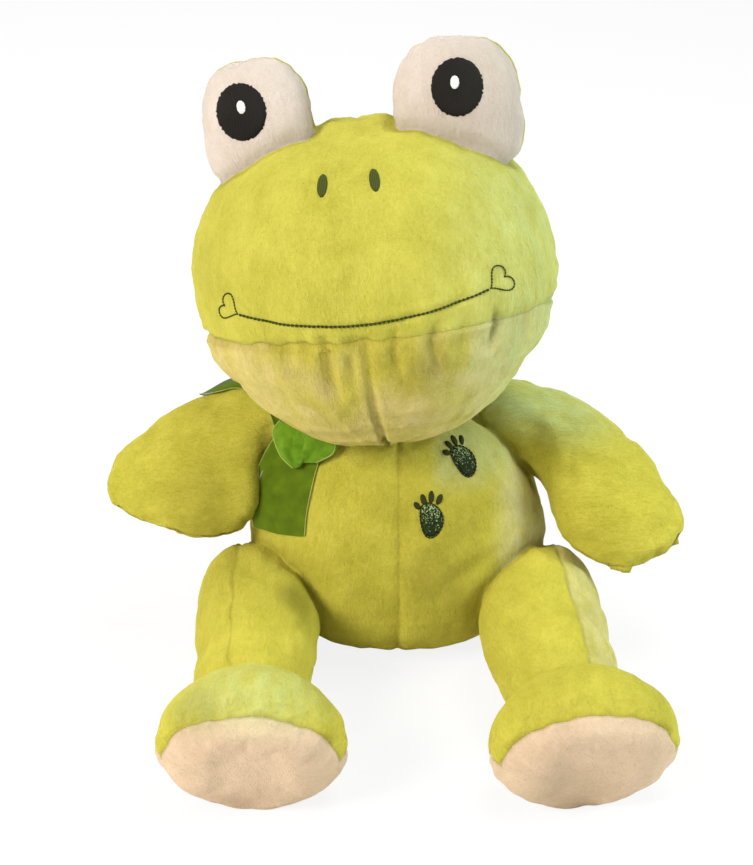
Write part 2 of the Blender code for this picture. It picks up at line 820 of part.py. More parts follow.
def strip(name, rows, finish, parent, closed=False):
    """A strip of ribbon through rows of points, each row across the ribbon."""
    model = bmesh.new()
    made = [[model.verts.new(point) for point in row] for row in rows]
    pairs = list(zip(made, made[1:]))
    if closed:
        pairs.append((made[-1], made[0]))
    for row, ahead in pairs:
        for index in range(len(row) - 1):
            model.faces.new((row[index], ahead[index], ahead[index + 1], row[index + 1]))
    obj = new_part(name, mesh_of(name, model), finish, parent)
    thicken(obj, RIBBON_THICKNESS, 0)
    flatten_faces(obj)


def height_over(x, y, surfaces):
    """The highest that the surfaces reach within the ribbon's drape of a place."""
    heights = [0]
    for side in (-1, -0.5, 0, 0.5, 1):
        for ahead in (-1, -0.5, 0, 0.5, 1):
            start = Vector((x + side * RIBBON_DRAPE, y + ahead * RIBBON_DRAPE, NECK_HEIGHT + CUT_OVERRUN))
            found = [surface.ray_cast(start, -UP)[0] for surface in surfaces]
            heights += [place.z for place in found if place]
    return max(heights)


def in_front(surface, x, z, distance):
    """A place at a distance before the belly, and the belly's normal there."""
    place, normal, index, found = surface.ray_cast(Vector((x, -VIEW_REACH, z)), -FORWARD)
    return place + normal * distance, normal


def make_ribbon_band(surfaces, parent):
    """A loose ring that lies on the shoulders, wider and further out on the frog's right."""
    rows = []
    steps = 22
    for step in range(steps):
        angle = 2 * math.pi * step / steps
        way = Vector((math.cos(angle), math.sin(angle), 0))
        loose_share = max(0, math.cos(angle - math.radians(RIBBON_LOOSE_WAY))) ** 3
        inner = RIBBON_RADIUS + RIBBON_LOOSE * loose_share
        width = RIBBON_BUNCHED + (RIBBON_WIDTH - RIBBON_BUNCHED) * loose_share
        row = []
        for share in (0, 1 / 4, 2 / 4, 3 / 4, 1):
            spot = Vector((0, -NECK_FORWARD, 0)) + way * (inner + width * share)
            row.append(Vector((spot.x, spot.y, height_over(spot.x, spot.y, surfaces) + RIBBON_LIFT)))
        rows.append(row)
    strip("ribbon_band", rows, RIBBON, parent, closed=True)
    return [point + UP * HEAD_OVER_RIBBON for row in rows for point in row]


def make_knot(surface, parent):
    model = bmesh.new()
    bmesh.ops.create_uvsphere(model, u_segments=10, v_segments=6, radius=1)
    bmesh.ops.scale(model, verts=model.verts, vec=(KNOT_WIDTH / 2, KNOT_HEIGHT / 2, KNOT_DEPTH / 2))
    middle, normal = in_front(surface, KNOT_X, KNOT_Z, KNOT_DEPTH / 2 + KNOT_LIFT)
    placement = frame_of(middle, normal, (1, 0, 0))
    new_part("ribbon_knot", mesh_of("ribbon_knot", model), RIBBON, parent, placement)


def make_loop(side, surface, parent):
    """A small loop of ribbon beside the knot."""
    sign = SIDE_SIGNS[side]
    x = KNOT_X + sign * (KNOT_WIDTH + LOOP_LENGTH + 2 * RIBBON_THICKNESS) / 2
    middle, normal = in_front(surface, x, LOOP_Z, LOOP_WIDTH / 2 + KNOT_LIFT)
    placement = frame_of(middle, normal, (1, 0, 0))
    rows = []
    steps = 12
    for step in range(steps):
        angle = 2 * math.pi * step / steps
        place = Vector((LOOP_LENGTH / 2 * math.cos(angle), LOOP_HEIGHT / 2 * math.sin(angle), 0))
        rows.append([placement @ (place - half_width(LOOP_WIDTH)), placement @ (place + half_width(LOOP_WIDTH))])
    strip("ribbon_loop_" + side, rows, RIBBON, parent, closed=True)


def half_width(width):
    return Vector((0, 0, width / 2))


def make_tail(surface, parent):
    """The loose end, which hangs down the side of the belly from under the knot."""
    rows = []
    steps = 6
    for step in range(steps + 1):
        share = step / steps
        width = KNOT_WIDTH + (RIBBON_WIDTH - KNOT_WIDTH) * min(1, 2 * share)
        middle = KNOT_X - TAIL_OUTWARD * share
        z = KNOT_Z - KNOT_HEIGHT / 2 - TAIL_GAP - TAIL_LENGTH * share
        row = [in_front(surface, middle + (across / 5 - 0.5) * width, z, RIBBON_LIFT)[0] for across in range(6)]
        rows.append(row)
    strip("ribbon_tail", rows, RIBBON, parent)


# Colours from the photograph

def make_colours():
    global GREEN_FACE, GREEN_BODY, GREEN_PALE, CREAM, BLACK, DARK_GREEN, RIBBON, FILLING
    GREEN_FACE = material("face_velboa", (0.52, 0.47, 0.05))
    GREEN_BODY = material("body_velboa", (0.48, 0.44, 0.05))
    GREEN_PALE = material("pale_velboa", (0.58, 0.48, 0.14))
    CREAM = material("cream_velboa", (0.84, 0.72, 0.60))
    BLACK = material("black_thread", (0.008, 0.008, 0.008), 0.7)
    DARK_GREEN = material("green_thread", (0.05, 0.09, 0.015), 0.6)
    RIBBON = material("green_organza", (0.06, 0.32, 0.04), 0.35)
    FILLING = material("polyester_filling", (0.85, 0.85, 0.83))


# The frog


def make_torso(root, floor):
    torso = torso_form()
    pieces = []
    for index, name in enumerate(TORSO_PANELS):
        pieces.append(torso.panel(name, index, GREEN_BODY, root))
    pieces.append(torso.stuffing("torso_stuffing", 8, FILLING, root))
    cut(pieces, floor, neck_cutter())
    return torso, pieces


def make_head(nod, room_under):
    head = head_form()
    colours = (GREEN_FACE, GREEN_PALE, GREEN_PALE, GREEN_FACE, GREEN_FACE)
    pieces = [
        head.panel(name, index, colour, nod)
        for index, (name, colour) in enumerate(zip(HEAD_PANELS, colours))
    ]
    pieces.append(head.stuffing("head_stuffing", 8, FILLING, nod))
    cut(pieces, bpy.data.objects["neck_cutter"], room_under)
    room = head.grown_cutter(SEAT_GAP)
    surface = head.surface()
    for side in SIDE_SIGNS:
        eye = eye_form(side)
        front = eye.panel("eye_front_" + side, 0, CREAM, nod)
        back = eye.panel("eye_back_" + side, 1, GREEN_FACE, nod)
        core = eye.stuffing("eye_stuffing_" + side, 6, FILLING, nod)
        cut((front, back, core), room)
        make_pupil(side, eye, nod)
        make_nostril(side, surface, nod)
        make_heart(side, surface, nod)
    make_mouth(surface, nod)


def make_arm(side, root, torso_pieces):
    arm = arm_form(side)
    swing = pivot("shoulder_" + side, shoulder(side), root)
    arm.panel("arm_front_" + side, 0, GREEN_BODY, swing)
    arm.panel("arm_back_" + side, 1, GREEN_BODY, swing)
    arm.stuffing("arm_stuffing_" + side, 6, FILLING, swing)
    cut(torso_pieces, limb_room_cutter(arm, shoulder(side), ARM_ROOM_REACH, -ARM_RAISE, ARM_LOWER))
    return arm


def make_leg(side, root, torso_pieces, floor):
    leg = leg_form(side)
    foot = foot_form(side)
    swing = pivot("hip_" + side, hip(side), root)
    leg_pieces = [
        leg.panel("leg_outer_" + side, 0, GREEN_BODY, swing),
        leg.panel("leg_inner_" + side, 1, GREEN_BODY, swing),
        leg.stuffing("leg_stuffing_" + side, 6, FILLING, swing),
    ]
    cut(leg_pieces, foot.grown_cutter(SEAT_GAP), floor)
    foot_pieces = [
        foot.panel("foot_upper_" + side, 0, GREEN_BODY, swing),
        foot.panel("sole_" + side, 1, CREAM, swing),
        foot.stuffing("foot_stuffing_" + side, 6, FILLING, swing),
    ]
    cut(foot_pieces, floor)
    cut(torso_pieces, limb_room_cutter(leg, hip(side), LEG_ROOM_REACH, -LEG_RAISE, LEG_LOWER))


def make_neck(turn):
    ball = neck_ball("neck_stuffing", NECK_BALL_RADIUS)
    new_part("neck_stuffing", ball, FILLING, turn, Matrix.Translation(NECK))


def main():
    make_colours()
    root = pivot("frog", (0, 0, 0))
    floor = floor_cutter()
    torso, torso_pieces = make_torso(root, floor)
    surface = torso.surface()
    under_head = torso.cage_points()
    surfaces = [surface]
    for side in SIDE_SIGNS:
        arm = make_arm(side, root, torso_pieces)
        for angle in (-ARM_RAISE, 0, ARM_LOWER):
            surfaces.append(arm.surface(about(shoulder(side), turned(angle, "X"))))
        under_head += arm.points(LIMB_GAP)
        make_leg(side, root, torso_pieces, floor)
        make_loop(side, surface, root)
    make_footprint("footprint_upper", 0.406, 0.876, 35, surface, root)
    make_footprint("footprint_lower", 0.203, 0.690, 8, surface, root)
    under_head += make_ribbon_band(surfaces, root)
    make_knot(surface, root)
    make_tail(surface, root)
    neck_turn = pivot("neck_turn", NECK, root)
    make_neck(neck_turn)
    make_head(pivot("neck_nod", NECK, neck_turn), head_room_cutter(under_head))


clear_scene()
PARTS = new_collection("plush_frog")
CUTTERS = new_collection("cutters")
main()
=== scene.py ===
import math
from collections import namedtuple

import bmesh
import bpy
import numpy as np
from mathutils import Matrix, Vector, noise
from mathutils.bvhtree import BVHTree
from mathutils.kdtree import KDTree


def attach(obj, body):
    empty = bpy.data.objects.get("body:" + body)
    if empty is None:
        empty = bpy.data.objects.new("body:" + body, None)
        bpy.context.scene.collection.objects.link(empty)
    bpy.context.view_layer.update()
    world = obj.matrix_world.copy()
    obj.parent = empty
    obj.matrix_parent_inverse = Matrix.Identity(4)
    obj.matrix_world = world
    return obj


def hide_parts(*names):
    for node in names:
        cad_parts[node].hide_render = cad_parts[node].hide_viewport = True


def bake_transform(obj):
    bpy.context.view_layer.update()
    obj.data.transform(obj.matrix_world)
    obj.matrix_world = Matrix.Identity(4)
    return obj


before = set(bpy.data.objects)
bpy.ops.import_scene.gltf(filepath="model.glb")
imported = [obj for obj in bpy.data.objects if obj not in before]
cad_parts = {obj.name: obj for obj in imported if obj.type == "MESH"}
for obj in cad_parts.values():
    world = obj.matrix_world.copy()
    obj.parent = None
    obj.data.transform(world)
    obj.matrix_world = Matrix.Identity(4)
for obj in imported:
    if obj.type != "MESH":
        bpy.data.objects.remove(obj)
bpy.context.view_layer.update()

MM = 0.001
SCENE = bpy.context.scene

# The camera stands where the photograph was taken from.
PHOTO_WIDTH = 753
PHOTO_HEIGHT = 865
CAMERA_PLACE = Vector((-0.009, -0.8219, 0.5102))
CAMERA_PITCH = 63
LENS = 103.7
SENSOR = 36

# Cloth
ROUGH_LEVELS = 3
SIM_FRAMES = 20
SIM_CAP = 3.5 * MM
SIM_SETTINGS = {
    "quality": 5,
    "mass": 0.15,
    "tension_stiffness": 12,
    "compression_stiffness": 12,
    "shear_stiffness": 4,
    "bending_stiffness": 0.3,
    "use_pressure": True,
    "uniform_pressure_force": 4,
    "shrink_min": -0.03,
    "vertex_group_mass": "seams",
}
PANEL_THICKNESS = 1.2 * MM
SHELF = 0.3 * MM

UP = Vector((0, 0, 1))
SIDE_SIGNS = {"left": 1, "right": -1}


# Placing


def turned(degrees, axis):
    return Matrix.Rotation(math.radians(degrees), 4, axis)


def frame_of(origin, outward, across):
    """A placement whose local Z is outward and whose local X is nearest to across."""
    z_axis = Vector(outward).normalized()
    y_axis = z_axis.cross(Vector(across)).normalized()
    x_axis = y_axis.cross(z_axis)
    turn = Matrix((x_axis, y_axis, z_axis)).transposed().to_4x4()
    return Matrix.Translation(origin) @ turn


def sight(pixel):
    """The direction from the camera through a pixel of the photograph."""
    across = (pixel[0] - PHOTO_WIDTH / 2) / PHOTO_WIDTH * SENSOR / LENS
    up = -(pixel[1] - PHOTO_HEIGHT / 2) / PHOTO_WIDTH * SENSOR / LENS
    return (turned(CAMERA_PITCH, "X").to_3x3() @ Vector((across, up, -1))).normalized()


def smooth_step(values, low, high):
    share = np.clip((values - low) / (high - low), 0, 1)
    return share * share * (3 - 2 * share)


# Arrays of a mesh


def read_out(items, name, size, kind=float):
    """One property of every item of a mesh, as a flat array."""
    flat = np.empty(len(items) * size, dtype=kind)
    items.foreach_get(name, flat)
    return flat


def places(mesh):
    return read_out(mesh.vertices, "co", 3).reshape(-1, 3)


def hump(away, width):
    """1 at no distance, falling smoothly to almost nothing at twice the width."""
    return np.exp(-((away / width) ** 2))


def outward_normals(points, faces):
    a, b, c, d = (points[faces[:, index]] for index in range(4))
    face_normals = np.cross(c - a, d - b)
    total = np.zeros_like(points)
    for index in range(4):
        np.add.at(total, faces[:, index], face_normals)
    return total / np.maximum(np.linalg.norm(total, axis=1, keepdims=True), 1e-12)


def new_object(name, data):
    obj = bpy.data.objects.new(name, data)
    SCENE.collection.objects.link(obj)
    return obj


def subdivided(mesh, levels):
    """A rounded copy of a mesh."""
    obj = new_object("rounding", mesh)
    smooth = obj.modifiers.new("rounding", "SUBSURF")
    smooth.levels = smooth.render_levels = levels
    graph = bpy.context.evaluated_depsgraph_get()
    made = bpy.data.meshes.new_from_object(obj.evaluated_get(graph))
    bpy.data.objects.remove(obj)
    return made


def tree_of(*meshes):
    """The faces of all these meshes, to cast rays at."""
    points, faces = [], []
    for mesh in meshes:
        offset = len(points)
        points += [vertex.co for vertex in mesh.vertices]
        faces += [tuple(offset + corner for corner in face.vertices) for face in mesh.polygons]
    return BVHTree.FromPolygons(points, faces)


def bumps(points, size, seed):
    """Smooth noise at each point, with lumps of about this size."""
    shift = Vector((17.3, 9.1, 4.7)) * seed
    return np.array([noise.noise(Vector(point) / size + shift) for point in points])


def line_distance(points, path):
    """Each point's distance to a line of points, and the share of the line at which it is nearest."""
    path = [np.array(place) for place in path]
    lengths = [np.linalg.norm(b - a) for a, b in zip(path, path[1:])]
    total = sum(lengths)
    best = np.full(len(points), 1e9)
    along = np.zeros(len(points))
    before = 0
    for a, b, length in zip(path, path[1:], lengths):
        share = np.clip((points - a) @ (b - a) / length**2, 0, 1)
        gap = np.linalg.norm(points - a - share[:, None] * (b - a), axis=1)
        nearer = gap < best
        best = np.where(nearer, gap, best)
        along = np.where(nearer, (before + share * length) / total, along)
        before += length
    return best, along


# Stuffed forms: the CAD's shapes, but for the legs' hips, which are a little fuller

Station = namedtuple("Station", "along across through slide rise tilt", defaults=(0, 0, 0))


class Form:
    """A stuffed form: rings of a loft along local Z, closed to a pole at each end."""

    def __init__(self, name, stations, size, sides, placement, panel_of, start=0.0):
        self.name = name
        self.stations = stations
        self.width, self.depth, self.length = (side * MM for side in size)
        self.sides = sides
        self.placement = placement
        self.panel_of = panel_of
        self.start = start

    def middle(self, station):
        return Vector((station.slide * self.width, station.rise * self.depth, station.along * self.length))

    def ring(self, station):
        swell = 3 / (2 + math.cos(2 * math.pi / self.sides))
        half_across = station.across * self.width / 2 * swell
        half_through = station.through * self.depth / 2 * swell
        turn = Matrix.Rotation(math.radians(station.tilt), 3, "Y")
        angles = [2 * math.pi * (side + self.start) / self.sides for side in range(self.sides)]
        flat = [Vector((half_across * math.cos(a), half_through * math.sin(a), 0)) for a in angles]
        return [self.middle(station) + turn @ point for point in flat]

    def cage(self):
        model = bmesh.new()
        bottom = model.verts.new(self.placement @ self.middle(self.stations[0]))
        top = model.verts.new(self.placement @ self.middle(self.stations[-1]))
        rings = [
            [model.verts.new(self.placement @ point) for point in self.ring(station)]
            for station in self.stations[1:-1]
        ]
        for side in range(self.sides):
            ahead = (side + 1) % self.sides
            faces = [(bottom, rings[0][ahead], rings[0][side])]
            faces += [(low[side], low[ahead], high[ahead], high[side]) for low, high in zip(rings, rings[1:])]
            faces.append((rings[-1][side], rings[-1][ahead], top))
            for row, marks in enumerate(faces):
                model.faces.new(marks).material_index = self.panel_of(row, side)
        mesh = bpy.data.meshes.new(self.name)
        model.to_mesh(mesh)
        model.free()
        return mesh


NECK = Vector((0, -6 * MM, 104 * MM))
HEAD_PLACE = (
    Matrix.Translation(NECK)
    @ turned(-4, "Z")
    @ turned(-8, "Y")
    @ Matrix.Translation((0, -10 * MM, 65 * MM))
    @ turned(-12, "X")
)
HEAD_VIEW = HEAD_PLACE @ frame_of((0, 0, 0), (0, -1, 0), (1, 0, 0))
EYE_WIDTHS = {"left": 54, "right": 48}
EYE_SIDES_OUT = {"left": 38, "right": 34}
ARM_BENDS = {"left": 59, "right": 49.5}
HAND_WIDTHS = {"left": 56, "right": 66}
LEG_SPREADS = {"left": 7, "right": 1}
FOOT_INWARD = {"left": 1, "right": 3}
FOOT_TILT = 16
FOOT_FROM_HIP = 107 * MM

# Panels of the forms, by the number that marks their faces
FACE, JAW_LEFT, JAW_RIGHT = 0, 1, 2
EYE_FRONT, EYE_BACK = 0, 1
FOOT_UPPER, SOLE = 0, 1


def torso_panel(row, side):
    return 0 if row == 0 else (3, 4, 2, 1)[side // 3]


def head_panel(row, side):
    quarter = side // 3
    if quarter < 2:
        return (3, 4)[quarter]
    return (JAW_RIGHT, JAW_LEFT)[quarter - 2] if row < 4 else FACE


def far_half(row, side):
    return 1 if side < 4 else 0


def near_half(row, side):
    return 1 - far_half(row, side)


def left_leg_panel(row, side):
    return 0 if side in (5, 6, 7, 0) else 1


def right_leg_panel(row, side):
    return 0 if side in (2, 3, 4, 5) else 1


def foot_panel(row, side):
    return SOLE if row >= 4 or (row == 3 and side >= 4) else FOOT_UPPER


def torso_form():
    stations = [
        Station(0.00, 0.00, 0.00),
        Station(0.00, 0.66, 0.66, rise=0.02),
        Station(0.17, 0.96, 0.97),
        Station(0.42, 1.02, 1.02, rise=-0.01),
        Station(0.66, 0.93, 0.88, rise=0.01),
        Station(0.87, 0.75, 0.68, rise=0.02),
        Station(0.97, 0.44, 0.44, rise=-0.02),
        Station(1.00, 0.00, 0.00, rise=-0.05),
    ]
    sunk = Matrix.Translation((0, 0, -0.5 * MM))
    return Form("torso", stations, (128, 103, 105.5), 12, sunk, torso_panel)


def head_form():
    stations = [
        Station(-0.45, 0.00, 0.00),
        Station(-0.48, 0.33, 0.46),
        Station(-0.39, 0.59, 0.77),
        Station(-0.25, 0.83, 0.94),
        Station(-0.12, 0.99, 1.02),
        Station(0.14, 0.97, 0.97),
        Station(0.40, 0.74, 0.76),
        Station(0.53, 0.00, 0.00),
    ]
    return Form("head", stations, (150, 118, 134), 12, HEAD_PLACE, head_panel)


def eye_form(side):
    stations = [
        Station(0.00, 0.00, 0.00),
        Station(0.06, 0.95, 0.88),
        Station(0.50, 1.03, 1.03),
        Station(0.88, 0.80, 0.74),
        Station(1.00, 0.00, 0.00),
    ]
    sign = SIDE_SIGNS[side]
    root = Matrix.Translation((sign * EYE_SIDES_OUT[side] * MM, -4 * MM, 36 * MM))
    placement = HEAD_PLACE @ root @ turned(sign * 6, "Y")
    return Form("eye_" + side, stations, (EYE_WIDTHS[side], 35, 61), 8, placement, far_half)


def shoulder(side):
    return Vector((SIDE_SIGNS[side] * 42 * MM, 12 * MM, 92 * MM))


# Each row: along, across, through, bend, tilt. Bend is a share of the arm's bend. From HAND_ROW on, across
# is a share of the hand's width.
ARM_ROWS = {
    "left": (
        (0.28, 1.00, 0.98, 0.07, 8),
        (0.62, 1.18, 0.96, 0.40, 48),
        (0.79, 1.00, 0.74, 0.81, 74),
        (0.94, 0.74, 0.43, 1.00, 68),
        (0.96, 0.00, 0.00, 1.17, 68),
    ),
    "right": (
        (0.28, 1.00, 0.98, 0.00, 14),
        (0.62, 1.43, 0.88, 0.43, 46),
        (0.77, 1.00, 0.72, 0.67, 62),
        (0.91, 0.84, 0.37, 0.91, 68),
        (0.93, 0.00, 0.00, 1.04, 68),
    ),
}
HAND_ROW = 2


def arm_form(side):
    """An arm goes straight out of the shoulder, then droops, widens and flattens into the hand."""
    root = 38 / 42
    stations = [
        Station(-0.16, 0.00, 0.00),
        Station(-0.14, 0.70 * root, 0.70),
        Station(-0.02, 0.98 * root, 0.98),
    ]
    for row, (along, across, through, bend, tilt) in enumerate(ARM_ROWS[side]):
        width = across * HAND_WIDTHS[side] / 42 if row >= HAND_ROW else across
        stations.append(Station(along, width, through, slide=bend * ARM_BENDS[side] / 42, tilt=tilt))
    forward = math.radians(48)
    droop = (0, -math.sin(forward), -math.cos(forward))
    placement = frame_of(shoulder(side), (SIDE_SIGNS[side], 0, 0), droop)
    halves = far_half if side == "right" else near_half
    return Form("arm_" + side, stations, (42, 38, 66), 8, placement, halves)


def hip(side):
    return Vector((SIDE_SIGNS[side] * 58 * MM, -26 * MM, 26.5 * MM))


def leg_outward(side):
    spread = math.radians(LEG_SPREADS[side])
    return Vector((SIDE_SIGNS[side] * math.sin(spread), -math.cos(spread), 2 / 107)).normalized()


LEG_STATIONS = {
    "left": [
        Station(-0.27, 0.00, 0.00),
        Station(-0.22, 0.74, 0.72),
        Station(0.00, 1.09, 1.05, slide=0.02),
        Station(0.45, 1.03, 0.97, slide=-0.04),
        Station(1.00, 0.92, 0.84, slide=-0.03),
        Station(1.04, 0.00, 0.00, slide=-0.03),
    ],
    "right": [
        Station(-0.27, 0.00, 0.00),
        Station(-0.22, 0.74, 0.72),
        Station(0.00, 1.09, 1.05, slide=-0.03),
        Station(0.45, 0.96, 0.97),
        Station(1.00, 0.86, 0.84),
        Station(1.04, 0.00, 0.00),
    ],
}


def leg_form(side):
    placement = frame_of(hip(side), leg_outward(side), (1, 0, 0))
    halves = left_leg_panel if side == "left" else right_leg_panel
    return Form("leg_" + side, LEG_STATIONS[side], (50, 50, 98), 8, placement, halves, 0.5)


def foot_form(side):
    stations = [
        Station(-0.50, 0.00, 0.00),
        Station(-0.45, 0.50, 0.54),
        Station(-0.18, 0.90, 0.92),
        Station(0.06, 1.02, 1.02),
        Station(0.24, 0.97, 0.96),
        Station(0.41, 0.62, 0.60),
        Station(0.46, 0.00, 0.00),
    ]
    spread = math.radians(LEG_SPREADS[side])
    down = math.radians(FOOT_TILT)
    facing = Vector((SIDE_SIGNS[side] * math.sin(spread), -math.cos(spread), -math.sin(down)))
    inward = Vector((-SIDE_SIGNS[side] * FOOT_INWARD[side] * MM, 0, 0))
    middle = hip(side) + leg_outward(side) * FOOT_FROM_HIP + inward
    placement = frame_of(middle, facing, (1, 0, 0))
    return Form("foot_" + side, stations, (75, 58, 52), 8, placement, foot_panel)


# Skins: the cloth of a form


class Skin:
    """The cloth of a stuffed form, as arrays of places, faces and the panel that each face belongs to."""

    def __init__(self, form, fine_levels):
        self.form = form
        self.fine_levels = fine_levels
        self.mesh = subdivided(form.cage(), ROUGH_LEVELS)
        self.read()

    def read(self):
        self.points = places(self.mesh)
        self.faces = read_out(self.mesh.loops, "vertex_index", 1, np.int32).reshape(-1, 4)
        self.panel = read_out(self.mesh.polygons, "material_index", 1, np.int32)

    def seam_marks(self):
        """Which points lie where two panels meet."""
        low = np.full(len(self.points), 99)
        high = np.full(len(self.points), -1)
        for index in range(4):
            np.minimum.at(low, self.faces[:, index], self.panel)
            np.maximum.at(high, self.faces[:, index], self.panel)
        return low != high

    def refine(self):
        """Subdivides to the final detail, and starts the colour arrays."""
        self.mesh.vertices.foreach_set("co", self.points.ravel())
        self.mesh = subdivided(self.mesh, self.fine_levels)
        self.read()
        inverse = np.array(self.form.placement.inverted())
        self.nap = self.points @ inverse[:3, :3].T + inverse[:3, 3]
        # The colour layers: dark lines along the seams together with painted shade; paler colour and cooler colour,
        # both painted light, the paler partly pile that lies another way.
        self.seam, self.pale, self.painted_cool_light = np.zeros((3, len(self.points)))

    def on_panels(self, panels):
        """1 at the points of these panels, 0 elsewhere."""
        marks = np.zeros(len(self.points))
        marks[np.unique(self.faces[np.isin(self.panel, panels)])] = 1
        return marks

    def normals(self):
        return outward_normals(self.points, self.faces)

    def push_in(self, depth):
        self.points = self.points - self.normals() * np.asarray(depth)[..., None]

    def tree(self):
        return BVHTree.FromPolygons(self.points.tolist(), self.faces.tolist())

    def lumps(self, size, height, seed):
        """The filling's unevenness, which shows through the cloth."""
        self.push_in(height * bumps(self.points, size, seed))

    def sew(self, dark):
        """Draws the cloth in along the seams, with puckers that run out from them."""
        marked = self.points[self.seam_marks()]
        tree = KDTree(len(marked))
        for index, place in enumerate(marked):
            tree.insert(place, index)
        tree.balance()
        found = [tree.find(place) for place in self.points]
        away = np.array([hit[2] for hit in found])
        nearest = np.array([hit[0][:] for hit in found])
        groove = 0.5 * MM * hump(away, 1.3 * MM)
        pull = 0.9 * MM * hump(away, 7 * MM)
        puckers = 0.8 * MM * bumps(nearest, 4.5 * MM, 5) * hump(away, 9 * MM)
        self.push_in(groove + pull + puckers)
        self.seam = np.maximum(self.seam, dark * hump(away, 0.8 * MM))

    def pinch(self, tree, width, depth):
        """Draws the cloth in where it is sewn to another form, and paints shade into its colour along the join."""
        away = np.full(len(self.points), 1.0)
        for index, place in enumerate(self.points):
            hit = tree.find_nearest(Vector(place), 3 * width)
            if hit[0] is not None:
                away[index] = hit[3]
        pucker = 0.5 * MM * bumps(self.points, 5 * MM, 8)
        self.push_in(hump(away, width) * (depth + pucker))
        # Painted shade along the join.
        self.seam = np.maximum(self.seam, 0.35 * hump(away, 1.2 * MM))

    def fold(self, pixels, width, depth, dark=0.0, bank=0.35):
        """A crease along a line of pixels of the photograph, with a low bank of cloth on both sides, and painted
        shade along it as dark as given.
        """
        tree = self.tree()
        path = [tree.ray_cast(CAMERA_PLACE, sight(pixel))[0] for pixel in pixels]
        path = [place for place in path if place]
        if len(path) < 2:
            return
        away, along = line_distance(self.points, path)
        fade = np.sin(np.pi * np.clip(0.06 + 0.88 * along, 0, 1)) ** 0.6
        self.push_in(depth * fade * (hump(away, width) - bank * hump(away - 2.1 * width, width)))
        # Painted shade along the crease.
        self.seam = np.maximum(self.seam, dark * fade * hump(away, 0.5 * width))

    def rest_on_floor(self):
        low = self.points[:, 2] < SHELF
        self.points[low, 2] = SHELF

    def piece(self, name, finish, panels=None, body=None):
        """The finished piece: the whole closed form, or some of its panels as cloth of some thickness."""
        points, faces, source = self.points, self.faces, np.arange(len(self.points))
        if panels is not None:
            kept = faces[np.isin(self.panel, panels)]
            used = np.unique(kept)
            order = np.full(len(points), -1)
            order[used] = np.arange(len(used))
            outer = order[kept]
            count = len(used)
            inner = outer[:, ::-1] + count
            sides = np.concatenate([outer[:, [index, (index + 1) % 4]] for index in range(4)])
            known = {tuple(side) for side in sides.tolist()}
            border = np.array([side for side in known if (side[1], side[0]) not in known])
            border = border[np.lexsort((border[:, 1], border[:, 0]))]
            rim = np.concatenate([border[:, ::-1], border + count], axis=1)
            points = np.concatenate([points[used], (points - self.normals() * PANEL_THICKNESS)[used]])
            faces = np.concatenate([outer, inner, rim])
            source = np.concatenate([used, used])
        layers = {label: getattr(self, label)[source] for label in ("seam", "pale", "painted_cool_light")}
        made = finished(name, points.tolist(), faces.tolist(), self.nap[source], finish, body, layers)
        return made



def stuff(skins):
    """Cloth simulation: the filling's pressure swells each skin between its seams, which stay in place."""
    filled = []
    for skin in skins:
        obj = new_object(skin.form.name + "_filling", skin.mesh.copy())
        pins = obj.vertex_groups.new(name="seams")
        pins.add([int(index) for index in np.flatnonzero(skin.seam_marks())], 1.0, "REPLACE")
        cloth = obj.modifiers.new("filling", "CLOTH")
        for name, value in SIM_SETTINGS.items():
            setattr(cloth.settings, name, value)
        cloth.settings.effector_weights.gravity = 0
        cloth.collision_settings.use_collision = False
        cloth.collision_settings.use_self_collision = False
        cloth.point_cache.frame_start = 1
        cloth.point_cache.frame_end = SIM_FRAMES
        filled.append(obj)
    for step in range(1, SIM_FRAMES + 1):
        SCENE.frame_set(step)
    graph = bpy.context.evaluated_depsgraph_get()
    for skin, obj in zip(skins, filled):
        moved = places(obj.evaluated_get(graph).data) - skin.points
        length = np.maximum(np.linalg.norm(moved, axis=1, keepdims=True), 1e-9)
        skin.points = skin.points + moved / length * SIM_CAP * np.tanh(length / SIM_CAP)
        bpy.data.objects.remove(obj)
    SCENE.frame_set(1)


# Materials


